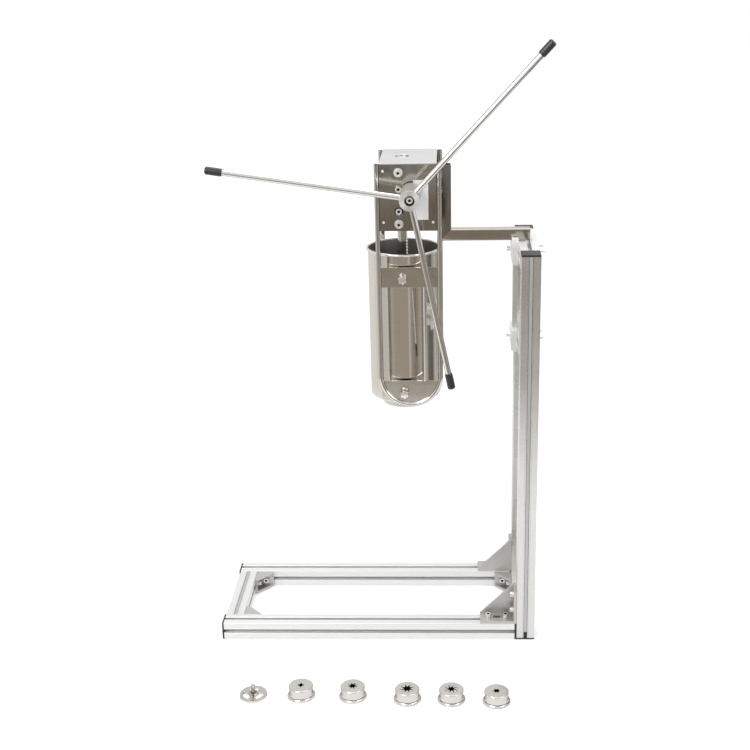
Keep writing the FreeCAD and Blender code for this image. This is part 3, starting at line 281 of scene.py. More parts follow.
# The posts are smoother, a mirror at a low angle, and painted darker than the rails as shade on their upright faces.
PROFILE_Z = replace(
    PROFILE_X, title="anodised aluminium drawn along Z", colour="#d8d7d5", dark="#cecdcb", metallic=1.0,
    gloss=(0.24, 0.32), axis=Axis.Z,
)
# Drawn aluminium strip that closes a slot: greyer and duller than the bar round it.
STRIP = Grained(
    "drawn aluminium strip", "aluminium_profile", "#c2c4c4", "#b6b8b8", 1.0, (0.45, 0.55), 0.004, grain=1.0
)
# Injection-moulded nylon: near black, with a dull spark-eroded grain.
CAP_NYLON = Grained("moulded black nylon", "black_cap", "#1d1d1f", "#131314", 0.0, (0.42, 0.58), 0.03, grain=1.0)
# Die-cast aluminium, tumbled: grey and soft, with a fine sandy skin.
CAST = Grained("die-cast aluminium", "cast_bracket", "#c9c8c5", "#b4b3b0", 1.0, (0.42, 0.6), 0.05, grain=1.6)
# Zinc-plated steel: bright, with small cool and warm patches of the passivation.
ZINC = Grained(
    "zinc-plated steel", "zinc_screw", "#ececea", "#d8d8d6", 1.0, (0.34, 0.46), 0.01, edge="#8c8781", grain=4.0
)
# Bright-dipped zinc on the button heads: paler than the cap screws, under a clear sealing film.
BRIGHT_ZINC = Grained(
    "bright-dipped zinc", "zinc_screw", "#f6f5f3", "#e8e6e3", 0.7, (0.3, 0.4), 0.006, edge="#77716c", grain=4.0
)
# Painted shade for sockets, holes, the hub's sunk end, the nozzles' insides and the rack's tooth gaps: a dull dark
# finish in place of the shade that falls in them.
DRILLED = Grained("drilled recess", "turned_stainless", "#4b4845", "#2f2d2b", 1.0, (0.45, 0.6), 0.01, grain=1.5)
# Welded stainless tube, satin ground: the grit leaves long scratches along the tube.
TUBE_X = Brushed(
    "satin stainless tube along X", "satin_tube", "#b9b3aa", "#9a948c", 1.0, (0.08, 0.2), 0.008,
    axis=Axis.X, run=60.0,
)
# The upright and its plate are painted darker than the arm, as shade on their upright faces.
TUBE_Z = replace(
    TUBE_X, title="satin stainless tube along Z", colour="#a29d95", dark="#7f7a72", gloss=(0.12, 0.26), axis=Axis.Z
)
# Pickled flat bar: pale and matt, with the mill's faint grain.
FLAT_BAR = Brushed(
    "pickled stainless flat bar", "satin_tube", "#d9d7d3", "#c5c2bd", 1.0, (0.36, 0.5), 0.01, axis=Axis.Z, run=50.0
)
# Milled aluminium: pale grey, with close cutter lines.
MILLED = Brushed(
    "milled aluminium", "machined_aluminium", "#f1f1f0", "#e4e4e3", 1.0, (0.48, 0.62), 0.01,
    axis=Axis.Y, line=1.8, run=35.0,
)
# Brushed stainless sheet: warm grey and fairly mirror-like, with a vertical grain.
SHEET = Brushed(
    "brushed stainless sheet", "brushed_stainless", "#bdb8b0", "#a49e95", 1.0, (0.09, 0.17), 0.004,
    axis=Axis.Z, run=70.0,
)
# Satin stainless cover: the same sheet, bead blasted pale and matt.
COVER = Grained("bead-blasted stainless", "satin_cover", "#cdcdcd", "#bfbfbf", 1.0, (0.34, 0.46), 0.015, grain=1.0)
# White acetal: milled guide blocks, waxy and faintly see-through at the edges.
ACETAL = Grained("white acetal", "white_acetal", "#eceae4", "#e3e1da", 0.0, (0.32, 0.42), 0.01, grain=2.0)
# Sintered bronze: brown-gold and slightly porous.
BRONZE = Grained("sintered bronze", "bronze", "#b08a55", "#96733f", 1.0, (0.28, 0.42), 0.02, grain=1.0)
# Bare polyester label film: silver-white, a soft sheen and nothing printed on it.
FILM = Grained("bare label film", "label_blank", "#cecbce", "#c7c4c7", 0.0, (0.3, 0.36), 0.004, grain=3.0)
# Turned stainless: bright with rings that follow the tool. The finest rings, too close to draw, scatter
# light as a matt surface does, so it isn't all metallic.
LATHE = Turned(
    "turned stainless", "turned_stainless", "#d6d4d1", "#c2bfbb", 0.78, (0.3, 0.42), 0.008, edge="#e8e6e3", fan=0.75
)
# Faced stainless of the piston: grey and even.
FACED = Grained("faced stainless", "turned_stainless", "#c6c4c0", "#b3b0ac", 1.0, (0.24, 0.36), 0.01, grain=1.5)
# Ground and polished bar: almost a mirror, with faint rings from the centreless grinder.
BAR = Turned(
    "polished stainless bar", "polished_rod", "#dad8d4", "#ccc9c4", 1.0, (0.05, 0.1), 0.002, edge="#8c8781", ring=2.0
)
# Milled round bar of the rack: polished tips, cutter lines across the teeth.
RACK = Brushed(
    "milled stainless rack", "turned_stainless", "#d4d2ce", "#bfbcb7", 1.0, (0.1, 0.2), 0.006, axis=Axis.Y, run=30.0
)
# Dipped vinyl grips: black with a soft sheen.
GRIP = Grained("dipped black vinyl", "black_grip", "#232526", "#191b1b", 0.0, (0.28, 0.4), 0.01, grain=2.5)
# Food-grade silicone seal: white and dull, with a rubbery bloom.
SEAL = Grained("white silicone rubber", "seal_rubber", "#e6e4de", "#d8d6cf", 0.0, (0.5, 0.62), 0.02, grain=1.4)
# Polished strip and plate of the cradle: mirror-like with a light polishing haze.
STRAP = Brushed(
    "polished stainless strip", "polished_plate", "#c9c5bd", "#bab5ad", 1.0, (0.17, 0.24), 0.002,
    axis=Axis.X, run=80.0,
)
# Spun and buffed barrel: a clear mirror with very faint spinning rings.
BARREL = Turned(
    "buffed spun stainless", "polished_barrel", "#e2dfda", "#d8d4ce", 1.0, (0.05, 0.12), 0.002, edge="#f4f2ef",
    ring=3.0,
)
# Inside of the barrel: left satin from the spinning, so it holds a soft grey light.
BORE = Turned(
    "satin spun bore", "polished_barrel", "#d0cdc8", "#b9b6b0", 1.0, (0.32, 0.42), 0.006, ring=2.0, fan=0.5
)
# Turned nozzle steel: pale satin with close rings.
NOZZLE = Turned(
    "satin turned nozzle steel", "nozzle_steel", "#dcdad6", "#c3c0bb", 1.0, (0.12, 0.2), 0.006, edge="#a8a29c",
    ring=1.2, fan=0.6,
)
# Pressed and barrel-polished steel of the core disc: grey, with dull hollows between its ribs.
PRESSED = Grained(
    "pressed nozzle steel", "nozzle_steel", "#e4e1dd", "#a39d97", 1.0, (0.14, 0.28), 0.03, edge="#7d7771", grain=3.0
)
# Polished acorn nuts: small mirrors, bought bright.
ACORN = Grained(
    "polished acorn steel", "polished_barrel", "#f2f1ef", "#e6e4e1", 1.0, (0.22, 0.32), 0.002, edge="#6d6762",
    grain=2.0,
)
# Blued heat line of a weld, wire-brushed: duller and a little browner than the bar.
WELD = Grained("wire-brushed weld", "satin_tube", "#b5afa6", "#99928a", 1.0, (0.25, 0.4), 0.03, grain=1.5)


# Mesh work.


class Ring(NamedTuple):
    """One ring of a lofted piece: its largest radius and height in mm, and its shape.

    Skin between two rings that are both sunk lies inside a socket or a hole.
    """

    radius: float
    height: float
    shape: Callable[[int], list[Vector]] | None = None
    sunk: bool = False


def circle(count: int) -> list[Vector]:
    """Return a unit circle of evenly spaced points."""
    return [Vector((math.cos(FULL_TURN * i / count), math.sin(FULL_TURN * i / count), 0)) for i in range(count)]


def star(points: int, inner: float, turn: float = 0.0) -> Callable[[int], list[Vector]]:
    """Make a star shape; a hexagon is one of three points whose inner radius is 1.

    Args:
        points: How many points the star has.
        inner: Radius of its inner corners, where the points reach 1.
        turn: Angle of its first point in degrees.

    Returns:
        A function that gives the star's outline as a number of points.
    """

    def outline(count: int) -> list[Vector]:
        """Walk round the star's corners in equal steps, as that many unit points."""
        corners = points * 2
        steps = count // corners
        made = []
        for corner in range(corners):
            angles = [FULL_TURN * n / corners + math.radians(turn) for n in (corner, corner + 1)]
            reach = (inner, 1) if corner % 2 else (1, inner)
            here, there = [Vector((math.cos(a), math.sin(a), 0)) * r for a, r in zip(angles, reach)]
            made += [here.lerp(there, step / steps) for step in range(steps)]
        return made

    return outline


HEXAGON = star(3, 1)

# Softening of a corner: the least turn that counts as one, the most of a side that it gives up, and
# how full the round is.
LEAST_TURN = math.radians(20)
MOST_BITE = 0.4
FULLNESS = 0.42


def softened(outline: Sequence[Ring], soft: float) -> list[Ring]:
    """Round the corners between plain rings, so that every edge catches the light.

    Args:
        outline: The rings, from the first to the last.
        soft: Length in mm that a corner gives up on each side.

    Returns:
        The rings with three in place of each true corner.
    """
    made = []
    last = len(outline) - 1
    for place, ring in enumerate(outline):
        before, after = outline[place - 1], outline[(place + 1) % (last + 1)]
        plain = ring.radius > 0 and not (ring.shape or before.shape or after.shape)
        here = Vector((ring.radius, ring.height))
        back = Vector((before.radius, before.height)) - here
        ahead = Vector((after.radius, after.height)) - here
        ends = place in (0, last) and (outline[0].radius == 0 or outline[last].radius == 0)
        if not plain or ends or min(back.length, ahead.length) < TINY or back.angle(-ahead) < LEAST_TURN:
            made.append(ring)
            continue
        bite = min(soft, back.length * MOST_BITE, ahead.length * MOST_BITE)
        first = here + back.normalized() * bite
        second = here + ahead.normalized() * bite
        middle = here.lerp((first + second) / 2, FULLNESS)
        made += [Ring(*corner, None, ring.sunk) for corner in (first, middle, second)]
    return made


def quarter(turn: int) -> Vector:
    """Return the level direction after a number of quarter turns from +X."""
    return Vector((math.cos(turn * math.pi / 2), math.sin(turn * math.pi / 2), 0))


def frame_along(at: Sequence[float], aim: Sequence[float]) -> Matrix:
    """Return the placement in metres that puts +Z along aim, at a point given in mm."""
    turn = Vector(aim).to_track_quat("Z", "Y").to_matrix().to_4x4()
    return Matrix.Translation(Vector(at) * MM) @ turn


def loft(name: str, rings: Sequence[Ring], count: int = 96, soft: float = 0.5) -> bpy.types.Object:
    """Skin rings about the local Z axis and map the skin for turning lines.

    Args:
        name: The object's name.
        rings: Rings from one end to the other. A radius of 0 closes an end in a pole; where the
            first ring has none, the last is joined to it, as on a tube's closed section.
        count: Points round each ring.
        soft: Corner softening in mm.

    Returns:
        The object, in metres about its own axis.
    """
    rings = softened(rings, soft)
    work = bmesh.new()
    marks = work.loops.layers.uv.new("turning")
    sunk = work.faces.layers.int.new("sunk")
    rows = []
    for ring in rings:
        if ring.radius == 0:
            rows.append([work.verts.new((0, 0, ring.height * MM))])
            continue
        shape = ring.shape or circle
        rows.append([
            work.verts.new((p.x * ring.radius * MM, p.y * ring.radius * MM, ring.height * MM)) for p in shape(count)
        ])
    pairs = list(zip(rows, rows[1:]))
    spans = list(zip(rings, rings[1:]))
    if rings[0].radius:
        pairs.append((rows[-1], rows[0]))
        spans.append((rings[-1], rings[0]))
    height = 0.0
    for (low, high), (first, second) in zip(pairs, spans):
        step = math.dist(first[:2], second[:2]) * MM
        across = max(first.radius, second.radius) * MM * FULL_TURN / count
        for i in range(count if len(low) + len(high) > 2 else 0):
            j = (i + 1) % count
            corners = [(low, i, 0), (low, i, 1), (high, i, 1), (high, i, 0)]
            verts, spots = [], []
            for row, _, side in corners:
                vert = row[0] if len(row) == 1 else row[j if side else i]
                if vert not in verts:
                    verts.append(vert)
                    spots.append(((i + side) * across, height + (step if row is high else 0)))
            face = work.faces.new(verts)
            face[sunk] = first.sunk and second.sunk
            for loop, spot in zip(face.loops, spots):
                loop[marks].uv = spot
        height += step
    bmesh.ops.recalc_face_normals(work, faces=work.faces)
    return as_object(name, work)


def linked(name: str, data: bpy.types.ID) -> bpy.types.Object:
    """Link a new object to the scene.

    Args:
        name: The object's name.
        data: Its mesh, light or camera.

    Returns:
        The object.
    """
    made = bpy.data.objects.new(name, data)
    bpy.context.scene.collection.objects.link(made)
    return made


def as_object(name: str, work: bmesh.types.BMesh) -> bpy.types.Object:
    """Turn a working mesh into an object.

    Args:
        name: The object's name.
        work: The working mesh, freed here.

    Returns:
        The object.
    """
    mesh = bpy.data.meshes.new(name)
    work.to_mesh(mesh)
    work.free()
    return linked(name, mesh)


def bake_modifiers(piece: bpy.types.Object) -> bpy.types.Mesh:
    """Keep what an object's modifiers give as its plain mesh.

    Args:
        piece: The object.

    Returns:
        Its new mesh.
    """
    plain = bpy.data.meshes.new_from_object(piece.evaluated_get(bpy.context.evaluated_depsgraph_get()))
    piece.modifiers.clear()
    piece.data = plain
    return plain


def prism(name: str, outlines: Sequence[Sequence[tuple[float, float]]], length: float) -> bpy.types.Object:
    """Extrude a section, with its holes, along Z about the middle.

    Args:
        name: The object's name.
        outlines: The outer outline and then each hole, as points in mm.
        length: Length in metres.

    Returns:
        The object.
    """
    work = bmesh.new()
    edges = []
    for outline in outlines:
        verts = [work.verts.new((x * MM, y * MM, -length / 2)) for x, y in outline]
        edges += [work.edges.new((a, b)) for a, b in zip(verts, verts[1:] + verts[:1])]
    bmesh.ops.triangle_fill(work, use_beauty=True, use_dissolve=False, edges=edges)
    grown = bmesh.ops.extrude_face_region(work, geom=list(work.faces))
    top = [item for item in grown["geom"] if isinstance(item, bmesh.types.BMVert)]
    bmesh.ops.translate(work, verts=top, vec=(0, 0, length))
    bmesh.ops.recalc_face_normals(work, faces=work.faces)
    return as_object(name, work)


def rounded(
    corners: Sequence[tuple[float, float]], radii: Sequence[float], steps: int = 3
) -> list[tuple[float, float]]:
    """Round an outline's corners.

    Args:
        corners: The corners in mm.
        radii: A radius in mm for each, 0 for a sharp one.
        steps: Steps round each corner.

    Returns:
        The outline's points.
    """
    made = []
    for place, (corner, radius) in enumerate(zip(corners, radii)):
        here = Vector(corner)
        back = (Vector(corners[place - 1]) - here).normalized()
        ahead = (Vector(corners[(place + 1) % len(corners)]) - here).normalized()
        if not radius:
            made.append(tuple(here))
            continue
        half_angle = back.angle(ahead) / 2
        middle = here + (back + ahead).normalized() * radius / math.sin(half_angle)
        start = here + back * radius / math.tan(half_angle) - middle
        end = here + ahead * radius / math.tan(half_angle) - middle
        for step in range(steps + 1):
            spoke = start.slerp(end, step / steps).normalized() * radius
            made.append(tuple(middle + spoke))
    return made


def settle(piece: bpy.types.Object, place: Matrix | None = None, sharp: float = 40.0) -> bpy.types.Object:
    """Bake modifiers and place into the mesh, and shade it smooth between its true edges.

    Args:
        piece: The object, with any modifiers it needs.
        place: Where it goes, in the frame's metres.
        sharp: Angle in degrees from which an edge stays crisp.

    Returns:
        The same object, at the origin with a plain mesh.
    """
    for polygon in piece.data.polygons:
        polygon.use_smooth = True
    piece.data.set_sharp_from_angle(angle=math.radians(sharp))
    weigh = piece.modifiers.new("weigh", "WEIGHTED_NORMAL")
    weigh.keep_sharp = True
    old = piece.data
    baked = bake_modifiers(piece)
    bpy.data.meshes.remove(old)
    baked.name = piece.name
    if place:
        baked.transform(place)
    return piece


def refined(node: str, width: float) -> bpy.types.Object:
    """Copy a solid, merge its loose triangles into clean faces and break its edges.

    Args:
        node: The solid's name.
        width: Width of the broken edge in mm.

    Returns:
        The settled piece.
    """
    work = bmesh.new()
    work.from_mesh(bpy.data.objects[node].data)
    bmesh.ops.remove_doubles(work, verts=work.verts, dist=TINY)
    bmesh.ops.dissolve_limit(work, angle_limit=math.radians(1), verts=work.verts, edges=work.edges)
    for layer in list(work.loops.layers.uv.values()):
        work.loops.layers.uv.remove(layer)
    piece = as_object(f"{node}_fine", work)
    piece.data.materials.clear()
    bevel = piece.modifiers.new("broken edge", "BEVEL")
    bevel.width = width * MM
    bevel.segments = 2
    bevel.limit_method = "ANGLE"
    bevel.angle_limit = math.radians(35)
    bevel.use_clamp_overlap = True
    bake_modifiers(piece)
    return settle(piece)


def dress(
    piece: bpy.types.Object, finish: Finish, body: str, nodes: Sequence[str], inside: Finish | None = None
) -> None:
    """Give a piece its finish, its body and the solids that it stands for, and report it.

    Args:
        piece: The settled piece.
        finish: Its finish.
        body: The body that it rides on.
        nodes: The solids that it replaces.
        inside: The finish of its sunk faces; it paints the shade that falls in them.
    """
    piece.data.materials.clear()
    piece.data.materials.append(finish.material())
    if inside:
        piece.data.materials.append(inside.material())
        for polygon, mark in zip(piece.data.polygons, piece.data.attributes["sunk"].data):
            polygon.material_index = mark.value
    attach(piece, body)
    if nodes:
        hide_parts(*nodes)
    LOG.info("%s: %s, %d faces, on %s", piece.name, finish.title, len(piece.data.polygons), body)


def drilled(piece: bpy.types.Object, cutters: Iterable[bpy.types.Object]) -> bpy.types.Object:
    """Cut shapes out of a piece.

    Args:
        piece: The piece.
        cutters: The shapes, removed here.

    Returns:
        The same piece.
    """
    for cutter in cutters:
        work = piece.modifiers.new("drill", "BOOLEAN")
        work.operation = "DIFFERENCE"
        work.solver = "EXACT"
        work.object = cutter
        bake_modifiers(piece)
        bpy.data.objects.remove(cutter)
    return piece


def merged(name: str, pieces: Sequence[bpy.types.Object]) -> bpy.types.Object:
    """Join settled pieces into one object and keep their shading.

    Args:
        name: The object's name.
        pieces: The pieces, of which the first takes in the others.

    Returns:
        The joined object.
    """
    with bpy.context.temp_override(
        active_object=pieces[0], selected_editable_objects=list(pieces), selected_objects=list(pieces)
    ):
        bpy.ops.object.join()
    pieces[0].name = pieces[0].data.name = name
    return pieces[0]


# Geometry Nodes: what repeats and what follows a path.


class NodeRecipe:
    """A Geometry Nodes tree with named inputs, set by socket before it is evaluated."""

    def __init__(self, title: str, inputs: dict[str, str]) -> None:
        """Make the tree with its inputs.

        Args:
            title: The tree's name.
            inputs: For each named input, its kind of socket.
        """
        self.tree = bpy.data.node_groups.new(title, "GeometryNodeTree")
        face = self.tree.interface
        face.new_socket("Geometry", in_out="INPUT", socket_type="NodeSocketGeometry")
        self.keys = {
            name: face.new_socket(name, in_out="INPUT", socket_type=f"NodeSocket{kind}").identifier
            for name, kind in inputs.items()
        }
        face.new_socket("Geometry", in_out="OUTPUT", socket_type="NodeSocketGeometry")
        self.start = add_node(self.tree, "NodeGroupInput")

    def close(self, shape: bpy.types.NodeSocket) -> None:
        """End the tree: real geometry in the chosen finish.

        Args:
            shape: The socket that gives the tree's shape.
        """
        real = add_node(self.tree, "GeometryNodeRealizeInstances", {"Geometry": shape})
        painted = add_node(
            self.tree, "GeometryNodeSetMaterial",
            {"Geometry": real.outputs[0], "Material": self.start.outputs["Finish"]},
        )
        add_node(self.tree, "NodeGroupOutput", {0: painted.outputs[0]})

    def bake(self, seat: bpy.types.Object, values: dict[str, object]) -> bpy.types.Object:
        """Run the tree on an object and keep the result as its plain mesh.

        Args:
            seat: The object whose mesh feeds the tree.
            values: A value for each named input.

        Returns:
            The object with its new mesh.
        """
        work = seat.modifiers.new("nodes", "NODES")
        work.node_group = self.tree
        for name, value in values.items():
            work[self.keys[name]] = value
        bake_modifiers(seat)
        return seat


class FastenerRow(NodeRecipe):
    """Sets one fastener on every point, along the point's aim, each turned by chance."""

    def __init__(self) -> None:
        """Build the tree."""
        super().__init__(
            "fastener row",
            {"Fastener": "Object", "Size": "Float", "Most turn": "Float", "Seed": "Int", "Finish": "Material"},
        )
        tree, start = self.tree, self.start
        one = add_node(tree, "GeometryNodeObjectInfo", {"Object": start.outputs["Fastener"]})
        aim = add_node(tree, "GeometryNodeInputNamedAttribute", {"Name": "aim"}, data_type="FLOAT_VECTOR")
        facing = add_node(tree, "FunctionNodeAlignRotationToVector", {"Vector": aim.outputs[0]}, axis="Z")
        chance = add_node(
            tree, "FunctionNodeRandomValue",
            {2: 0.0, 3: start.outputs["Most turn"], "Seed": start.outputs["Seed"]}, data_type="FLOAT",
        )
        spin = add_node(
            tree, "FunctionNodeAxisAngleToRotation", {"Axis": (0, 0, 1), "Angle": chance.outputs[1]}
        )
        turned = add_node(
            tree, "FunctionNodeRotateRotation",
            {"Rotation": facing.outputs[0], "Rotate By": spin.outputs[0]}, rotation_space="LOCAL",
        )
        rows = add_node(
            tree, "GeometryNodeInstanceOnPoints",
            {
                "Points": start.outputs["Geometry"],
                "Instance": one.outputs["Geometry"],
                "Rotation": turned.outputs[0],
                "Scale": start.outputs["Size"],
            },
        )
        self.close(rows.outputs[0])


class SweptBar(NodeRecipe):
    """Sweeps a round bar along a path; a ripple along it makes a weld bead."""

    def __init__(self) -> None:
        """Build the tree."""
        super().__init__(
            "swept bar",
            {
                "Bar radius": "Float", "Ripple": "Float", "Ripple pitch": "Float", "Facets": "Int",
                "Finish": "Material",
            },
        )
        tree, start = self.tree, self.start
        path = add_node(tree, "GeometryNodeMeshToCurve", {"Mesh": start.outputs["Geometry"]})
        along = add_node(tree, "GeometryNodeSplineParameter")
        turns = add_node(
            tree, "ShaderNodeMath", {0: along.outputs["Length"], 1: start.outputs["Ripple pitch"]}, operation="DIVIDE"
        )
        phase = add_node(tree, "ShaderNodeMath", {0: turns.outputs[0], 1: FULL_TURN}, operation="MULTIPLY")
        wave = add_node(tree, "ShaderNodeMath", {0: phase.outputs[0]}, operation="SINE")
        swell = add_node(
            tree, "ShaderNodeMath", {0: wave.outputs[0], 1: start.outputs["Ripple"], 2: 1.0}, operation="MULTIPLY_ADD"
        )
        sized = add_node(
            tree, "GeometryNodeSetCurveRadius", {"Curve": path.outputs[0], "Radius": swell.outputs[0]}
        )
        section = add_node(
            tree, "GeometryNodeCurvePrimitiveCircle",
            {"Resolution": start.outputs["Facets"], "Radius": start.outputs["Bar radius"]},
        )
        bar = add_node(
            tree, "GeometryNodeCurveToMesh",
            {"Curve": sized.outputs[0], "Profile Curve": section.outputs[0], "Fill Caps": True},
        )
        self.close(bar.outputs[0])

    def along(
        self, name: str, points: Sequence[Sequence[float]], radius: float, finish: Finish, facets: int,
        ripple: float = 0.0, pitch: float = 1000.0,
    ) -> bpy.types.Object:
        """Sweep a bar along points.

        Args:
            name: The object's name.
            points: The path, in mm.
            radius: The bar's radius in mm.
            finish: Its finish.
            facets: Sides of its section.
            ripple: Share of the radius by which the bar swells and narrows.
            pitch: Distance in mm from one swell to the next.

        Returns:
            The object with its plain mesh.
        """
        return self.bake(path_line(name, points), {
            "Bar radius": radius * MM, "Ripple": ripple, "Ripple pitch": pitch * MM, "Facets": facets,
            "Finish": finish.material(),
        })


def seat_points(name: str, places: Sequence[tuple[Vector, Vector]]) -> bpy.types.Object:
    """Make a mesh of loose points for a fastener row.

    Args:
        name: The object's name.
        places: Each point in metres, with its aim.

    Returns:
        The object.
    """
    mesh = bpy.data.meshes.new(name)
    mesh.from_pydata([tuple(at) for at, _ in places], [], [])
    aims = mesh.attributes.new("aim", "FLOAT_VECTOR", "POINT")
    for item, (_, aim) in zip(aims.data, places):
        item.vector = aim
    return linked(name, mesh)


def path_line(name: str, points: Sequence[Sequence[float]]) -> bpy.types.Object:
    """Make a mesh line for a bar to follow.

    Args:
        name: The object's name.
        points: The line's points in mm.

    Returns:
        The object.
    """
    mesh = bpy.data.meshes.new(name)
    mesh.from_pydata([tuple(Vector(p) * MM) for p in points], [(i, i + 1) for i in range(len(points) - 1)], [])
    return linked(name, mesh)


# Fasteners.


@dataclass(frozen=True)
class CapScrew:
    """A socket cap screw; sizes in mm, seat at height 0."""

    thread: float
    head: float
    head_height: float
    socket: float
    socket_depth: float
    length: float
    domed: bool = False

    def rings(self) -> list[Ring]:
        """Return the screw's rings from the tip to the floor of its socket."""
        top = self.head_height
        rings = [
            Ring(0, -self.length),
            Ring(self.thread * 0.8, -self.length),
            Ring(self.thread, -self.length + self.thread * 0.3),
            Ring(self.thread, 0),
            Ring(self.head, 0),
        ]
        if self.domed:
            rise = (self.head**2 + top**2) / (2 * top)
            for step in range(1, 6):
                radius = self.head * (1 - step * 0.12)
                rings.append(Ring(radius, math.sqrt(rise**2 - radius**2) - (rise - top)))
        else:
            rings.append(Ring(self.head, top))
        rim = rings[-1].height
        return rings + [
            Ring(self.socket * 1.12, rim),
            Ring(self.socket, rim - 0.3, HEXAGON, True),
            Ring(self.socket, top - self.socket_depth, HEXAGON, True),
            Ring(0, top - self.socket_depth - self.socket * 0.3, None, True),
        ]


@dataclass(frozen=True)
class Washer:
    """A flat washer, or a small one on a large one where the small radius is given; sizes in mm."""

    head: float
    bore: float
    thick: float
    small: float = 0.0

    def rings(self) -> list[Ring]:
        """Return the washer's section, the small one at the start."""
        first, half = self.small or self.head, self.thick / 2
        step = [Ring(first, half), Ring(self.head, half)] if self.small else []
        return [
            Ring(self.bore, 0), Ring(first, 0), *step, Ring(self.head, self.thick), Ring(self.bore, self.thick)
        ]


@dataclass(frozen=True)
class Nut:
    """A hexagon nut, or an acorn nut where it has a dome; sizes in mm."""

    head: float
    bore: float
    height: float
    dome: float = 0.0

    def rings(self) -> list[Ring]:
        """Return the nut's rings, with the chamfer that the cut-off corners leave."""
        face = self.head * math.cos(math.pi / 6) * 0.97
        cut, lead = 0.9, 0.5
        rings = [
            Ring(face, 0), Ring(self.head, cut, HEXAGON), Ring(self.head, self.height - cut, HEXAGON),
            Ring(face, self.height),
        ]
        if not self.dome:
            return rings + [
                Ring(self.bore + lead, self.height), Ring(self.bore, self.height - lead),
                Ring(self.bore, lead), Ring(self.bore + lead, 0),
            ]
        for step in range(12):
            angle = math.pi / 2 * step / 12
            rings.append(Ring(self.dome * math.cos(angle), self.height + self.dome * math.sin(angle)))
        return [Ring(0, 0)] + rings + [Ring(0, self.height + self.dome)]


ACORN_M10 = Nut(9.2, 5, 6.5, 7.4)
# Height in mm of the solid button heads, a little less than that of the detailed ones.
SOLID_BUTTON = 2.8
# Depth in mm from a fastener's end within which its end face is measured.
END_FACE = 0.4


class Found(NamedTuple):
    """A fastener found in a solid node: its seat, its aim, and its radius and whole length in mm."""

    at: Vector
    aim: Vector
    radius: float
    length: float


class Screw(Enum):
    """Socket screws by thread: its radius, the head's radius and height, the socket's radius and depth, in mm."""

    BUTTON_M5 = (2.5, 5.2, 3.0, 1.73, 1.6)
    CAP_M6 = (3.0, 5.0, 6.0, 2.89, 3.0)
    CAP_M8 = (4.0, 6.5, 8.0, 3.46, 4.0)
    CAP_M10 = (5.0, 8.0, 10.0, 4.62, 5.0)

    def over(self, found: Found) -> CapScrew:
        """Return the screw of this size that is as long as the solid one found."""
        button = self is Screw.BUTTON_M5
        return CapScrew(*self.value, found.length - (SOLID_BUTTON if button else self.value[2]), button)


def find_fasteners(node: str, along: Axis | None = None) -> list[Found]:
    """Find each separate solid of a node of fasteners.

    Args:
        node: The solid's name.
        along: The axis of them all, where their boxes don't show it.

    Returns:
        One entry for each in the order of their places, its seat at the head's outer end.
    """
    work = bmesh.new()
    work.from_mesh(bpy.data.objects[node].data)
    bmesh.ops.remove_doubles(work, verts=work.verts, dist=TINY)
    left = set(work.verts)
    found = []
    while left:
        heap = [left.pop()]
        members = []
        while heap:
            vert = heap.pop()
            members.append(vert.co.copy())
            for edge in vert.link_edges:
                other = edge.other_vert(vert)
                if other in left:
                    left.remove(other)
                    heap.append(other)
        low = Vector([min(co[i] for co in members) for i in range(3)])
        high = Vector([max(co[i] for co in members) for i in range(3)])
        size = high - low
        middle = (low + high) / 2
        axis = along.value if along else min(range(3), key=lambda i: abs(size[i - 1] - size[i - 2]))
        others = [i for i in range(3) if i != axis]
        reach = {}
        for sign, level in ((-1, low[axis]), (1, high[axis])):
            near = [co for co in members if abs(co[axis] - level) < END_FACE * MM]
            reach[sign] = max(math.hypot(*[co[i] - middle[i] for i in others]) for co in near)
        sign = 1 if reach[1] >= reach[-1] - TINY else -1
        aim = Vector([sign if i == axis else 0 for i in range(3)])
        at = middle + aim * size[axis] / 2
        found.append(Found(at, aim, max(size[i] for i in others) / 2 / MM, size[axis] / MM))
    work.free()
    # Sorted by place, so that in each run the same fastener gets the same turn.
    return sorted(found, key=lambda one: [round(part, 1) for part in (*(one.at / MM), one.length)])


class Fasteners:
    """Builds the detailed fasteners over the solid ones, a node at a time."""

    def __init__(self) -> None:
        """Prepare the row tree and remember the shapes that are built."""
        self.row = FastenerRow()
        self.built: dict[object, bpy.types.Object] = {}
        self.seed = 0

    def build(self, shape: CapScrew | Washer | Nut) -> bpy.types.Object:
        """Build a fastener once, for the rows to copy.

        Args:
            shape: The fastener's sizes.

        Returns:
            The object to copy.
        """
        if shape not in self.built:
            self.built[shape] = settle(loft(f"pattern_{len(self.built)}", shape.rings(), 36))
        return self.built[shape]

    def fit(
        self, node: str, body: str, finish: Finish, choose: Callable[[Found], CapScrew | Washer | Nut],
        along: Axis | None = None,
    ) -> None:
        """Replace a node's fasteners with detailed ones.

        Args:
            node: The node.
            body: The body that they ride on.
            finish: Their finish.
            choose: Gives the fastener for one that was found.
            along: The axis of them all, where their boxes don't show it.
        """
        rows: dict[object, list[tuple[Vector, Vector]]] = {}
        for found in find_fasteners(node, along):
            shape = choose(found)
            top = shape.head_height if isinstance(shape, CapScrew) else found.length
            rows.setdefault(shape, []).append((found.at - found.aim * top * MM, found.aim))
        pieces = []
        for shape, places in rows.items():
            self.seed += 1
            seat = seat_points(f"{node}_row_{self.seed}", places)
            pieces.append(self.row.bake(seat, {
                "Fastener": self.build(shape), "Size": 1.0, "Most turn": 1.0, "Seed": self.seed,
                "Finish": finish.material(),
            }))
        piece = merged(f"{node}_fine", pieces) if len(pieces) > 1 else pieces[0]
        piece.name = f"{node}_fine"
        # The sunk faces of the sockets take painted shade.
        dress(piece, finish, body, [node], DRILLED)

    def clear(self) -> None:
        """Remove the hidden patterns once every row is baked."""
        for made in self.built.values():
            bpy.data.objects.remove(made)
        self.built.clear()


# Sub-assemblies.


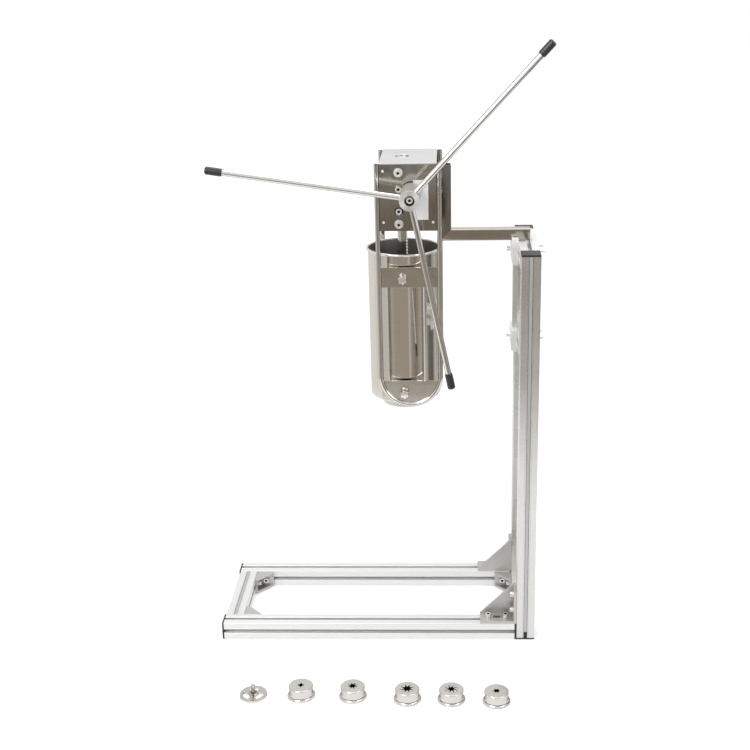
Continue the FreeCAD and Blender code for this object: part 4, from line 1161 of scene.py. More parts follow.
@dataclass
class Stand:
    """Base frame, column and the castings and screws that hold them."""

    half: float = 20.0
    mouth: float = 4.1
    lip: float = 4.5
    wide: float = 10.0
    straight: float = 1.5
    depth: float = 12.3
    floor: float = 4.0
    core: float = 3.4
    corner: float = 1.6
    groove: float = 0.35
    groove_edges: tuple[float, float, float, float] = (3.2, 2.9, 2.2, 1.9)
    tongue: float = 14.0
    strip: float = 3.5
    strip_depth: float = 1.1
    strip_thick: float = 1.2
    strip_edge: float = 0.3

    def section(self) -> list[list[tuple[float, float]]]:
        """Return the slotted section: rounded corners, lips with a fine groove, and the core hole."""
        half, mouth, groove = self.half, self.mouth, self.groove
        shelf = half - self.lip
        edges = [-mouth - edge for edge in self.groove_edges]
        side = [
            (half, -half, self.corner),
            (half, edges[0], 0),
            (half - groove, edges[1], 0),
            (half - groove, edges[2], 0),
            (half, edges[3], 0),
            (half, -mouth, 0.5),
            (shelf, -mouth, 0.3),
            (shelf, -self.wide, 0.4),
            (shelf - self.straight, -self.wide, 0.3),
            (half - self.depth, -self.floor, 0.3),
        ]
        side += [(x, -y, radius) for x, y, radius in reversed(side[1:])]
        corners, radii = [], []
        for turn in range(4):
            c, s, _ = (round(part) for part in quarter(turn))
            for x, y, radius in side:
                corners.append((x * c - y * s, x * s + y * c))
                radii.append(radius)
        core = [tuple(p.xy * self.core) for p in circle(24)]
        return [rounded(corners, radii), core]

    def bars(self) -> None:
        """Draw every profile bar from one section."""
        section = self.section()
        turns = {0: ("X", PROFILE_X), 1: ("Y", PROFILE_Y), 2: ("Z", PROFILE_Z)}
        nodes = (
            "rail_front", "rail_back", "post_front", "post_back",
            "cross_rail_left", "cross_rail_right", "beam_upper", "beam_lower",
        )
        for node in nodes:
            low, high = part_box(node)
            size = high - low
            axis = max(range(3), key=lambda i: size[i])
            word, finish = turns[axis]
            aim = Vector([i == axis for i in range(3)])
            bar = prism(f"{node}_fine", section, size[axis])
            dress(settle(bar, frame_along((low + high) / 2 / MM, aim), 25), finish, "stand", [node])

    def caps(self) -> None:
        """Soften the end caps and give the posts' lower ones the tongues that fill the slot mouths."""
        parts = [refined("end_caps", 1.0)]
        for post in ("post_front", "post_back"):
            low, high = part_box(post)
            middle = (low + high) / 2 / MM
            for turn in range(4):
                out = quarter(turn)
                tongue = prism("tongue", [self.tongue_outline()], self.tongue * MM)
                place = Matrix.Translation(Vector((middle.x, middle.y, low.z / MM + self.tongue / 2)) * MM)
                place = place @ out.to_track_quat("X", "Z").to_matrix().to_4x4()
                parts.append(settle(tongue, place))
        dress(merged("end_caps_fine", parts), CAP_NYLON, "stand", ["end_caps"])

    def tongue_outline(self) -> list[tuple[float, float]]:
        """Return the section of a cap's tongue inside the slot's mouth."""
        wide = self.mouth - 0.1
        out = self.half - 0.6
        inner = self.half - self.lip
        return rounded([(out, -wide), (out, wide), (inner, wide), (inner, -wide)], [0.6, 0.6, 0, 0])

    def strips(self) -> None:
        """Close the front post's front slot and the left cross rail's top slot with flat strips."""
        wide, thick = self.strip, self.strip_thick / 2
        section = rounded([(wide, -thick), (wide, thick), (-wide, thick), (-wide, -thick)], [self.strip_edge] * 4)
        down = self.half - self.strip_depth - thick
        low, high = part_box("post_front")
        middle = (low + high) / 2 / MM
        start, end = low.z / MM + self.tongue + 0.3, high.z / MM - 0.5
        upright = prism("strip", [section], (end - start) * MM)
        place = Matrix.Translation(Vector((middle.x, middle.y - down, (start + end) / 2)) * MM)
        parts = [settle(upright, place)]
        low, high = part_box("cross_rail_left")
        middle = (low + high) / 2 / MM
        lying = prism("strip", [section], high.y - low.y - 0.6 * MM)
        place = Matrix.Translation(Vector((middle.x, middle.y, middle.z + down)) * MM)
        parts.append(settle(lying, place @ Matrix.Rotation(math.pi / 2, 4, "X")))
        dress(merged("slot_strips", parts), STRIP, "stand", [])

    def castings(self) -> None:
        """Round the edges of the corner brackets and gussets as a die leaves them."""
        for node in ("corner_brackets", "gusset_front", "gusset_back"):
            dress(refined(node, 1.0), CAST, "stand", [node])

    def build(self, fasteners: Fasteners) -> None:
        """Build and dress the whole stand.

        Args:
            fasteners: Sets the bracket bolts.
        """
        self.bars()
        self.caps()
        self.strips()
        self.castings()
        fasteners.fit("bracket_bolts", "stand", ZINC, Screw.CAP_M8.over)
        nuts = bpy.data.objects["slot_nuts"]
        nuts.data.materials.clear()
        nuts.data.materials.append(ZINC.material())


@dataclass
class Hanger:
    """Welded hook, its plate, the leg bar and the clamps that hold it to the column."""

    tube: float = 25.0
    wall: float = 2.0
    corner: float = 2.6
    inner_corner: float = 1.4
    bead: float = 1.3
    bead_step: float = 1.2
    ripple: float = 0.22
    ripple_pitch: float = 4.0
    one_washer: float = 2.0
    two_washers: float = 4.0
    longest_nut: float = 8.0
    washer_bore: float = 3.3
    small_washer: float = 5.0
    nut_bore: float = 3.0

    def tube_piece(self, node: str, axis: Axis, finish: Finish) -> None:
        """Draw a rounded square tube over its solid and cut its mitre.

        Args:
            node: The solid's name.
            axis: The tube's axis.
            finish: Its finish.
        """
        low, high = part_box(node)
        size = high - low
        outer = self.tube / 2
        inner = outer - self.wall
        square = [(-1, -1), (1, -1), (1, 1), (-1, 1)]
        section = [
            rounded([(x * outer, y * outer) for x, y in square], [self.corner] * 4, 5),
            rounded([(x * inner, y * inner) for x, y in square], [self.inner_corner] * 4, 4),
        ]
        aim = Vector([i == axis.value for i in range(3)])
        piece = settle(
            prism(f"{node}_fine", section, size[axis.value]), frame_along((low + high) / 2 / MM, aim), 30
        )
        arm_low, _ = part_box("hanger_arm")
        corner = Vector((arm_low.x, 0, arm_low.z))
        slant = Vector((1, 0, -1)).normalized() * (1 if axis is Axis.X else -1)
        work = bmesh.new()
        work.from_mesh(piece.data)
        bmesh.ops.bisect_plane(
            work, geom=[*work.verts, *work.edges, *work.faces], plane_co=corner, plane_no=slant, clear_inner=True
        )
        work.to_mesh(piece.data)
        work.free()
        dress(piece, finish, "stand", [node])

    def weld(self, sweep: SweptBar) -> None:
        """Lay the weld beads where the upright meets its plate.

        Args:
            sweep: Sweeps the beads.
        """
        low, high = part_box("hanger_upright")
        x = low.x / MM + 0.4
        side = self.tube / 2
        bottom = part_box("hanger_plate")[0].z / MM + 0.5
        top = high.z / MM
        parts = []
        for y in (-side - 0.2, side + 0.2):
            steps = int((top - bottom) / self.bead_step)
            points = [(x, y, bottom + (top - bottom) * i / steps) for i in range(steps + 1)]
            parts.append(settle(sweep.along("bead", points, self.bead, WELD, 10, self.ripple, self.ripple_pitch)))
        dress(merged("hanger_weld", parts), WELD, "stand", [])

    def build(self, fasteners: Fasteners, sweep: SweptBar) -> None:
        """Build and dress the hanger and its clamps.

        Args:
            fasteners: Sets the screws, washers and nuts.
            sweep: Sweeps the weld.
        """
        self.tube_piece("hanger_arm", Axis.X, TUBE_X)
        self.tube_piece("hanger_upright", Axis.Z, TUBE_Z)
        self.weld(sweep)
        dress(refined("hanger_plate", 0.6), TUBE_Z, "stand", ["hanger_plate"])
        dress(refined("leg_bar", 0.8), FLAT_BAR, "stand", ["leg_bar"])
        for node in ("clamp_shoe_upper", "clamp_shoe_lower"):
            dress(refined(node, 0.8), MILLED, "stand", [node])
        fasteners.fit("hanger_screws", "stand", ZINC, Screw.CAP_M6.over)
        fasteners.fit("shoe_screws", "stand", ZINC, self.clamp_part)
        fasteners.fit("through_bolts", "stand", ZINC, self.clamp_part)

    def clamp_part(self, found: Found) -> CapScrew | Washer | Nut:
        """Choose the clamp's washer, pair of washers, nut or screw by its length.

        Args:
            found: The solid fastener.

        Returns:
            The detailed one.
        """
        if found.length < self.one_washer:
            return Washer(found.radius, self.washer_bore, found.length)
        if found.length < self.two_washers:
            return Washer(found.radius, self.washer_bore, found.length, self.small_washer)
        if found.length < self.longest_nut:
            return Nut(found.radius, self.nut_bore, found.length)
        return Screw.CAP_M6.over(found)


@dataclass
class Gearbox:
    """Box of plates with its guides, bushes, bare label and screws; black washers under the sunk screws paint the
    shade of their access holes.
    """

    edge: float = 0.6
    one_washer: float = 2.0
    washer_bore: float = 4.3
    sunk_washer: float = 8.6
    sunk_bore: float = 6.6
    sunk_floor: float = 0.1
    sunk_top: float = 1.3

    def build(self, fasteners: Fasteners) -> None:
        """Build and dress the gearbox.

        Args:
            fasteners: Sets the screws.
        """
        for node in ("wall_left", "wall_right", "plate_front", "plate_back", "plate_bottom"):
            dress(refined(node, self.edge), SHEET, "stand", [node])
        dress(refined("cover", 0.8), COVER, "stand", ["cover"])
        for node in ("guide_front", "guide_back"):
            dress(refined(node, self.edge), ACETAL, "stand", [node])
        dress(refined("shaft_bushes", 0.3), BRONZE, "stand", ["shaft_bushes"])
        dress(refined("label_plate", 0.12), FILM, "stand", ["label_plate"])
        fasteners.fit("gearbox_screws", "stand", BRIGHT_ZINC, Screw.BUTTON_M5.over)
        fasteners.fit("guide_screws", "stand", ZINC, self.guide_part)
        self.sunk_washers()

    def guide_part(self, found: Found) -> CapScrew | Washer:
        """Choose the guide's washer or screw by its length.

        Args:
            found: The solid fastener.

        Returns:
            The detailed one.
        """
        if found.length < self.one_washer:
            return Washer(found.radius, self.washer_bore, found.length)
        return Screw.CAP_M8.over(found)

    def sunk_washers(self) -> None:
        """Put a black washer under each guide screw that sits down its access hole, as painted shade for the hole."""
        screws = [found for found in find_fasteners("guide_screws") if found.length > self.one_washer]
        deepest = min(abs(found.at.y) for found in screws)
        rings = [
            Ring(self.sunk_bore, self.sunk_floor), Ring(self.sunk_washer, self.sunk_floor),
            Ring(self.sunk_washer, self.sunk_top), Ring(self.sunk_bore, self.sunk_top),
        ]
        parts = []
        for found in screws:
            if abs(found.at.y) < deepest + 0.5 * MM:
                seat = found.at / MM - found.aim * Screw.CAP_M8.over(found).head_height
                parts.append(settle(loft("sunk_washer", rings, 48, 0.3), frame_along(seat, found.aim)))
        # Black nylon washers as painted shade in the access holes.
        dress(merged("sunk_washers", parts), CAP_NYLON, "stand", [])


@dataclass
class HandWheel:
    """Shaft, pinion, hub and the three long handles."""

    shaft_x: float = -241.0
    shaft_z: float = 1000.0
    shaft: float = 8.0
    shaft_hole: float = 4.0
    hole_depth: float = 15.9
    collar: float = 14.0
    hub: float = 20.5
    spoke_depth: float = 22.0
    boss: float = 12.0
    boss_length: float = 5.7
    socket: float = 9.0
    socket_depth: float = 12.0
    rod: float = 6.0
    root: float = 14.0
    reach: float = 403.0
    grip: float = 8.0
    grip_length: float = 34.0
    grip_end: float = 4.0
    grip_edge: float = 0.9
    grip_lead: float = 3.5
    grip_shoulder: float = 2.6
    grip_nose: float = 1.2
    angles: tuple[float, ...] = (171.4, 47.1, -78.5)

    def spoke(self, angle: float, radius: float) -> tuple[Vector, Vector]:
        """Find a point on a handle's line.

        Args:
            angle: The handle's angle in degrees.
            radius: The point's distance in mm from the wheel's axis.

        Returns:
            The point in mm and the handle's direction.
        """
        hub_low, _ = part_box("hub")
        out = Vector((math.cos(math.radians(angle)), 0, math.sin(math.radians(angle))))
        at = Vector((self.shaft_x, hub_low.y / MM + self.spoke_depth, self.shaft_z)) + out * radius
        return at, out

    def hub_piece(self) -> None:
        """Turn the hub with its boss and its sunk end."""
        low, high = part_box("hub")
        total = (high.y - low.y) / MM
        rings = [
            Ring(self.shaft, 0),
            Ring(self.boss, 0),
            Ring(self.boss, self.boss_length),
            Ring(self.hub, self.boss_length),
            Ring(self.hub, total),
            Ring(self.socket, total, None, True),
            Ring(self.socket, total - self.socket_depth, None, True),
            Ring(self.shaft, total - self.socket_depth, None, True),
        ]
        place = self.on_shaft(high.y, -1)
        # The sunk end of the hub takes painted shade.
        dress(settle(loft("hub_fine", rings, 96, 1.0), place), LATHE, "wheel", ["hub"], DRILLED)

    def on_shaft(self, y: float, way: int) -> Matrix:
        """Return the place on the shaft's axis at a Y in metres, +Z along Y one way (1) or the other (-1)."""
        return frame_along((self.shaft_x, y / MM, self.shaft_z), (0, way, 0))

    def handles(self) -> None:
        """Make the polished rods and the grips pushed onto their ends."""
        rods, grips = [], []
        for angle in self.angles:
            at, out = self.spoke(angle, self.root)
            length = self.reach - self.grip_end - self.root
            rings = [Ring(0, 0), Ring(self.rod, 0), Ring(self.rod, length), Ring(0, length)]
            rods.append(settle(loft("rod", rings, 40, 0.8), frame_along(at, out)))
            at, out = self.spoke(angle, self.reach - self.grip_length)
            length = self.grip_length
            rings = [
                Ring(self.rod, 0),
                Ring(self.grip - self.grip_edge, 0),
                Ring(self.grip, self.grip_lead),
                Ring(self.grip, length - self.grip_shoulder),
                Ring(self.grip - self.grip_edge, length - self.grip_nose),
                Ring(self.grip - self.grip_shoulder, length),
                Ring(0, length),
                Ring(0, length - self.grip_end),
                Ring(self.rod, length - self.grip_end),
            ]
            grips.append(settle(loft("grip", rings, 48, 0.8), frame_along(at, out)))
        dress(merged("handle_rods_fine", rods), BAR, "wheel", ["handle_rods"])
        dress(merged("handle_grips_fine", grips), GRIP, "wheel", ["handle_grips"])

    def build(self, fasteners: Fasteners) -> None:
        """Build and dress all that turns.

        Args:
            fasteners: Sets the hub's screw.
        """
        self.hub_piece()
        self.handles()
        low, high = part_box("pinion_shaft")
        length = (high.y - low.y) / MM
        floor = length - self.hole_depth
        rings = [
            Ring(0, 0), Ring(self.shaft, 0), Ring(self.shaft, length),
            Ring(self.shaft_hole, length), Ring(self.shaft_hole, floor), Ring(0, floor),
        ]
        shaft = loft("pinion_shaft_fine", rings, 64, 0.8)
        dress(settle(shaft, self.on_shaft(high.y, -1)), LATHE, "wheel", ["pinion_shaft"])
        low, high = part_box("shaft_collar")
        wide = (high.y - low.y) / MM
        rings = [Ring(self.shaft, 0), Ring(self.collar, 0), Ring(self.collar, wide), Ring(self.shaft, wide)]
        collar = loft("shaft_collar_fine", rings, 64, 0.8)
        dress(settle(collar, self.on_shaft(low.y, 1)), LATHE, "wheel", ["shaft_collar"])
        dress(refined("pinion", 0.2), RACK, "wheel", ["pinion"])
        fasteners.fit("hub_screw", "wheel", ZINC, Screw.CAP_M8.over)


@dataclass
class Plunger:
    """Rack, piston, seal and the screw between them."""

    gap_floor: float = -257.5
    tooth_tip: float = -252.7
    half_tooth: float = 9.0
    least_rise: float = 0.3

    def rack(self) -> None:
        """Dress the rack, with painted shade in its tooth gaps, save on flanks that face up and catch the light."""
        piece = refined("rack", 0.25)
        dress(piece, RACK, "plunger", ["rack"])
        # Painted shade: gap faces that don't face up take the dark recess finish.
        piece.data.materials.append(DRILLED.material())
        for polygon in piece.data.polygons:
            at = polygon.center / MM
            in_gap = self.gap_floor < at.x < self.tooth_tip and abs(at.y) < self.half_tooth
            polygon.material_index = int(in_gap and polygon.normal.z < self.least_rise)

    def build(self, fasteners: Fasteners) -> None:
        """Build and dress all that slides.

        Args:
            fasteners: Sets the piston's screw.
        """
        self.rack()
        dress(refined("piston", 0.5), FACED, "plunger", ["piston"])
        dress(refined("piston_seal", 0.4), SEAL, "plunger", ["piston_seal"])
        fasteners.fit("piston_screw", "plunger", ZINC, Screw.CAP_M10.over)


@dataclass
class CradleAndBarrel:
    """Hoops, their plates, the studs and nuts, the barrel and its ring nut."""

    x: float = -261.0
    box_x: float = -247.0
    rod: float = 5.0
    plane: float = 86.0
    bend: float = 63.0
    centre: float = 605.2
    straight: float = 725.2
    top: float = 1056.0
    bore: float = 74.5
    outside: float = 76.0
    bead: float = 2.75
    rim: float = 868.0
    foot: float = 524.0
    step: float = 532.0
    floor: float = 535.0
    cone_foot: float = 59.0
    cone_top: float = 543.0
    inner_foot: float = 58.5
    inner_top: float = 545.0
    neck: float = 29.0
    thread: float = 43.0
    nut: float = 50.0
    nut_base: float = 521.0
    nut_hole: float = 25.5
    thread_gap: float = 0.1
    spanner_hole: float = 3.0
    spanner_depth: float = 5.0

    def hoops(self, sweep: SweptBar) -> None:
        """Sweep each hoop from one top end round the barrel's foot to the other.

        Args:
            sweep: Sweeps the bars.
        """
        for node, y in (("hoop_front", -self.plane), ("hoop_back", self.plane)):
            left, right = self.box_x - self.bend, self.box_x + self.bend
            points = [(left, y, self.top), (left, y, self.straight)]
            for step in range(65):
                angle = math.pi + math.pi * step / 64
                x, z = self.bend * math.cos(angle), self.bend * math.sin(angle)
                points.append((self.box_x + x, y, self.centre + z))
            points += [(right, y, self.straight), (right, y, self.top)]
            bar = sweep.along(f"{node}_fine", points, self.rod, BAR, 32)
            dress(settle(self.mapped(bar), sharp=50), BAR, "stand", [node])

    def mapped(self, piece: bpy.types.Object) -> bpy.types.Object:
        """Give a swept piece a turning map whose rings lie across the bar.

        Args:
            piece: The piece.

        Returns:
            The same piece.
        """
        marks = piece.data.uv_layers.new(name="turning")
        for loop in piece.data.loops:
            co = piece.data.vertices[loop.vertex_index].co
            marks.data[loop.index].uv = (co.x + co.y, co.z)
        return piece

    def barrel(self) -> None:
        """Spin the barrel: beaded rim, straight wall, coned foot and neck."""
        wall, out, bead = self.bore, self.outside, self.bead
        rim = self.rim - bead
        rings = [
            Ring(self.neck, self.foot), Ring(self.thread, self.foot), Ring(self.thread, self.step),
            Ring(self.cone_foot, self.step), Ring(out, self.cone_top), Ring(out, rim - bead),
            Ring(wall + bead, rim - bead),
        ]
        for step in range(1, 13):
            angle = -math.pi / 2 + math.pi * 1.5 * step / 12
            rings.append(Ring(wall + bead + bead * math.cos(angle), rim + bead * math.sin(angle)))
        rings += [Ring(wall, self.inner_top), Ring(self.inner_foot, self.floor), Ring(self.neck, self.floor)]
        piece = settle(loft("barrel_fine", rings, 180, 1.0), frame_along((self.x, 0, 0), (0, 0, 1)), 50)
        dress(piece, BARREL, "stand", ["barrel"])
        piece.data.materials.append(BORE.material())
        for polygon in piece.data.polygons:
            inside = math.hypot(polygon.center.x - self.x * MM, polygon.center.y) < (wall + 0.2) * MM
            polygon.material_index = int(inside and polygon.center.z > self.floor * MM)

    def ring_nut(self) -> None:
        """Turn the outlet's ring nut and drill its spanner holes."""
        thread = self.thread + self.thread_gap
        rings = [
            Ring(self.nut_hole, self.nut_base), Ring(self.nut, self.nut_base), Ring(self.nut, self.step),
            Ring(thread, self.step), Ring(thread, self.foot), Ring(self.nut_hole, self.foot),
        ]
        level = (self.nut_base + self.step) / 2
        piece = loft("ring_nut_fine", rings, 128, 0.9)
        cutters = []
        for turn in range(4):
            out = quarter(turn)
            hole, deep = self.spanner_hole, self.spanner_depth
            drill = loft("spanner_drill", [Ring(0, -deep), Ring(hole, -deep), Ring(hole, deep), Ring(0, deep)], 32, 0)
            drill.data.transform(frame_along(out * self.nut + Vector((0, 0, level)), out))
            cutters.append(drill)
        drilled(piece, cutters)
        dress(settle(piece, frame_along((self.x, 0, 0), (0, 0, 1)), 35), LATHE, "stand", ["ring_nut"])

    def build(self, fasteners: Fasteners, sweep: SweptBar) -> None:
        """Build and dress the cradle and the barrel.

        Args:
            fasteners: Sets the acorn nuts.
            sweep: Sweeps the hoops.
        """
        self.hoops(sweep)
        self.barrel()
        self.ring_nut()
        for node in ("cradle_straps", "toe_plates"):
            dress(refined(node, 0.5), STRAP, "stand", [node])
        dress(refined("barrel_studs", 0.4), ACORN, "stand", ["barrel_studs"])
        fasteners.fit("acorn_nuts", "stand", ACORN, lambda _: ACORN_M10, Axis.Y)


@dataclass
class LooseSet:
    """The nozzles and the core disc that stand in front of the press.

    Attributes:
        mouths: For each nozzle, the points of its mouth, their outer and inner radius and their turn.
    """

    mouths: dict[str, tuple[int, float, float, float]] = field(default_factory=lambda: {
        "nozzle_small_cross": (4, 8.0, 4.4, 0.0),
        "nozzle_small_star": (8, 10.5, 5.4, 22.5),
        "nozzle_large_star": (8, 13.5, 6.8, 22.5),
        "nozzle_medium_star": (8, 12.5, 5.4, 30.0),
        "nozzle_fine_star": (6, 8.5, 4.8, 0.0),
    })
    flange: float = 28.5
    flange_thick: float = 2.5
    neck_foot: float = 28.0
    neck: float = 24.0
    neck_start: float = 9.0
    neck_radius: float = 7.0
    face: float = 25.0
    face_base: float = 20.5
    face_edge: float = 1.2
    height: float = 25.0
    opening: float = 21.0
    inside: float = 16.0
    mouth_floor: float = 21.0
    mouth_rim: float = 1.5

    def nozzle(self, node: str) -> None:
        """Turn a flanged nozzle with its star mouth.

        Args:
            node: The solid's name.
        """
        points, outer, inner, turn = self.mouths[node]
        low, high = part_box(node)
        middle = (low + high) / 2 / MM
        start, end = Vector((self.neck_foot, self.flange_thick)), Vector((self.neck, self.neck_start))
        rings = [Ring(self.opening, 0, None, True), Ring(self.flange, 0), Ring(self.flange, start.y), Ring(*start)]
        # The neck stands straight and sweeps out into the flange in a small concave arc.
        radius = self.neck_radius
        chord = end - start
        side = Vector((chord.y, -chord.x)).normalized()
        centre = (start + end) / 2 + side * math.sqrt(radius**2 - (chord.length / 2) ** 2)
        for step in range(1, 16):
            spoke = (start - centre).slerp(end - centre, step / 16).normalized() * radius
            rings.append(Ring(centre.x + spoke.x, centre.y + spoke.y))
        mouth = star(points, inner / outer, turn)
        top, edge = self.height, self.face_edge
        rings += [
            Ring(self.neck, self.face_base), Ring(self.face, self.face_base), Ring(self.face, top - edge),
            Ring(self.face - edge, top), Ring(outer + self.mouth_rim, top),
            Ring(outer, top, mouth, True), Ring(outer, self.mouth_floor, mouth, True),
            Ring(self.inside, self.mouth_floor, None, True),
        ]
        piece = loft(f"{node}_fine", rings, 144 if points != 8 else 160, 0.6)
        place = frame_along((middle.x, middle.y, 0), (0, 0, 1))
        # The mouth and the inside of the nozzle take painted shade.
        dress(settle(piece, place, 35), NOZZLE, "stand", [node], DRILLED)

    def build(self) -> None:
        """Build and dress the loose set."""
        for node in self.mouths:
            self.nozzle(node)
        dress(refined("core_disc", 0.4), PRESSED, "stand", ["core_disc"])


# Studio and camera.


class Tone(Enum):
    """The cards and cloths that stand round the press for its bright metal to mirror."""

    PAPER = "#f4f3f0"
    PALE = "#d2cfca"
    STONE = "#b4b1aa"
    WARM = "#a99f92"
    SHADE = "#857c71"
    DARK = "#6c6a62"


# Where each card stands, as a share of a full turn from straight behind, by way of the left.
LOW_ROOM = (
    (0.0, Tone.PAPER), (0.205, Tone.PAPER), (0.213, Tone.PALE), (0.221, Tone.PAPER), (0.265, Tone.PAPER),
    (0.283, Tone.STONE), (0.3, Tone.PALE), (0.345, Tone.PALE), (0.358, Tone.PAPER), (0.372, Tone.SHADE),
    (0.39, Tone.STONE), (0.42, Tone.WARM), (0.535, Tone.WARM), (0.545, Tone.PALE), (0.557, Tone.WARM),
    (0.6, Tone.SHADE), (0.63, Tone.WARM), (0.655, Tone.STONE), (0.668, Tone.DARK), (0.68, Tone.PAPER),
    (0.7, Tone.PAPER),
    (0.71, Tone.STONE), (0.735, Tone.DARK), (0.785, Tone.DARK), (0.8, Tone.STONE), (0.84, Tone.PALE),
    (0.865, Tone.SHADE), (0.89, Tone.PALE), (1.0, Tone.PALE),
)
# The upper part straight ahead, by height in metres: one bright shelf that rises to the right.
HIGH_ROOM = (
    (0.56, Tone.WARM), (0.62, Tone.SHADE), (0.7, Tone.SHADE), (0.735, Tone.STONE), (0.75, Tone.PALE),
    (0.762, Tone.STONE), (0.785, Tone.DARK), (0.86, Tone.DARK),
)


@dataclass
class Studio:
    """White floor, plain soft light and the room that only reflections see."""

    white: str = "#ffffff"
    reach: float = 14.0
    room_radius: float = 1.5
    room_height: float = 0.85
    centre: tuple[float, float] = (-0.26, 0.0)
    shelf_rise: float = 0.27
    band: tuple[float, float] = (0.5, 0.58)
    band_half: float = 0.6
    glow: float = 1.16
    shadow_reach: tuple[float, float] = (0.9, 2.2)
    shadow_share: float = 0.62
    aim: tuple[float, float, float] = (-0.3, 0.0, 0.6)
    lamps: tuple[tuple[str, tuple[float, float, float], float, float], ...] = (
        ("key_softbox", (-1.9, -2.3, 2.7), 1.6, 62.0),
        ("fill_softbox", (2.1, -1.7, 1.9), 1.6, 30.0),
        ("top_softbox", (-0.3, 0.6, 3.2), 2.0, 30.0),
    )

    def seen(self, tree: bpy.types.NodeTree) -> bpy.types.NodeSocket:
        """Tell the rays that see from the rays that light.

        Args:
            tree: The material's or the world's tree.

        Returns:
            A socket that gives 1 for rays from the camera, from gloss and through glass.
        """
        rays = add_node(tree, "ShaderNodeLightPath")
        pair = add_node(
            tree, "ShaderNodeMath",
            {0: rays.outputs["Is Camera Ray"], 1: rays.outputs["Is Glossy Ray"]}, operation="ADD",
        )
        return add_node(
            tree, "ShaderNodeMath",
            {0: pair.outputs[0], 1: rays.outputs["Is Transmission Ray"]}, operation="ADD", use_clamp=True,
        ).outputs[0]

    def world(self) -> None:
        """Light the scene softly and show white behind it."""
        world = bpy.data.worlds.new("studio")
        bpy.context.scene.world = world
        tree = blank_tree(world)
        soft = add_node(tree, "ShaderNodeBackground", {"Color": linear("#f6f7f8"), "Strength": 0.8})
        back = add_node(tree, "ShaderNodeBackground", {"Color": linear(self.white), "Strength": 1.0})
        both = add_node(
            tree, "ShaderNodeMixShader", {0: self.seen(tree), 1: soft.outputs[0], 2: back.outputs[0]}
        )
        add_node(tree, "ShaderNodeOutputWorld", {"Surface": both.outputs[0]})

    def floor(self) -> None:
        """Lay a white floor that keeps the object's shadow."""
        work = bmesh.new()
        bmesh.ops.create_grid(work, x_segments=8, y_segments=8, size=self.reach)
        floor = as_object("studio_floor", work)
        paper = bpy.data.materials.new("white paper floor")
        tree = blank_tree(paper)
        place = add_node(tree, "ShaderNodeTexCoord").outputs["Object"]
        fibre = add_node(tree, "ShaderNodeTexNoise", {"Vector": place, "Scale": 400.0}).outputs["Fac"]
        bump = add_node(tree, "ShaderNodeBump", {"Height": fibre, "Distance": 0.02 * MM, "Strength": 0.2})
        matt = add_node(tree, "ShaderNodeBsdfDiffuse", {"Color": linear("#fafafa"), "Normal": bump.outputs[0]})
        glow = add_node(tree, "ShaderNodeEmission", {"Color": linear(self.white), "Strength": self.glow})
        # Near the object the floor is half real, so that its shadow shows; beyond, it is plain white.
        far = add_node(tree, "ShaderNodeVectorMath", {0: place}, operation="LENGTH")
        open_sky = add_node(tree, "ShaderNodeAmbientOcclusion", {"Distance": 0.05}, samples=12)
        start, end = self.shadow_reach
        near = add_node(
            tree, "ShaderNodeMapRange",
            {
                "Value": far.outputs["Value"], "From Min": start, "From Max": end,
                "To Min": self.shadow_share, "To Max": 1.0,
            },
        )
        lit = add_node(
            tree, "ShaderNodeMath", {0: near.outputs[0], 1: open_sky.outputs["AO"]}, operation="MULTIPLY"
        )
        part = add_node(tree, "ShaderNodeMath", {0: self.seen(tree), 1: lit.outputs[0]}, operation="MULTIPLY")
        both = add_node(tree, "ShaderNodeMixShader", {0: part.outputs[0], 1: matt.outputs[0], 2: glow.outputs[0]})
        add_node(tree, "ShaderNodeOutputMaterial", {"Surface": both.outputs[0]})
        floor.data.materials.append(paper)

    def room(self) -> None:
        """Stand the room's walls in a ring that only reflections see: pale left, warm and dark ahead."""
        walls = self.ring_wall("studio_room", 128)
        look = bpy.data.materials.new("studio room")
        tree = blank_tree(look)
        place = add_node(tree, "ShaderNodeTexCoord").outputs["Object"]
        shifted = add_node(
            tree, "ShaderNodeMapping", {"Vector": place, "Location": (-self.centre[0], -self.centre[1], 0)}
        ).outputs[0]
        parts = add_node(tree, "ShaderNodeSeparateXYZ", {0: shifted})
        # The bearing from straight ahead (-Y), growing to the right, is laid out as a share of a full turn.
        front = add_node(tree, "ShaderNodeMath", {0: parts.outputs[1], 1: -1.0}, operation="MULTIPLY")
        bearing = add_node(
            tree, "ShaderNodeMath", {0: parts.outputs[0], 1: front.outputs[0]}, operation="ARCTAN2"
        )
        share = add_node(
            tree, "ShaderNodeMapRange",
            {"Value": bearing.outputs[0], "From Min": -math.pi, "From Max": math.pi},
        )
        low = self.ramp(tree, share.outputs[0], LOW_ROOM)
        level = add_node(
            tree, "ShaderNodeMath", {0: parts.outputs[0], 1: -self.shelf_rise, 2: parts.outputs[2]},
            operation="MULTIPLY_ADD",
        )
        high = self.ramp(tree, level.outputs[0], HIGH_ROOM)
        # The upper band shows only straight ahead; to the sides the room is the same all the way up.
        aside = add_node(tree, "ShaderNodeMath", {0: bearing.outputs[0]}, operation="ABSOLUTE")
        ahead = add_node(tree, "ShaderNodeMath", {0: aside.outputs[0], 1: self.band_half}, operation="LESS_THAN")
        start, end = self.band
        above = add_node(
            tree, "ShaderNodeMapRange", {"Value": parts.outputs[2], "From Min": start, "From Max": end}
        )
        blend = add_node(
            tree, "ShaderNodeMath", {0: ahead.outputs[0], 1: above.outputs[0]}, operation="MULTIPLY"
        )
        both = add_node(tree, "ShaderNodeMix", {0: blend.outputs[0], 6: low, 7: high}, data_type="RGBA")
        glow = add_node(tree, "ShaderNodeEmission", {"Color": both.outputs[2], "Strength": 1.0})
        add_node(tree, "ShaderNodeOutputMaterial", {"Surface": glow.outputs[0]})
        walls.data.materials.append(look)
        walls.visible_camera = walls.visible_diffuse = walls.visible_shadow = walls.visible_transmission = False

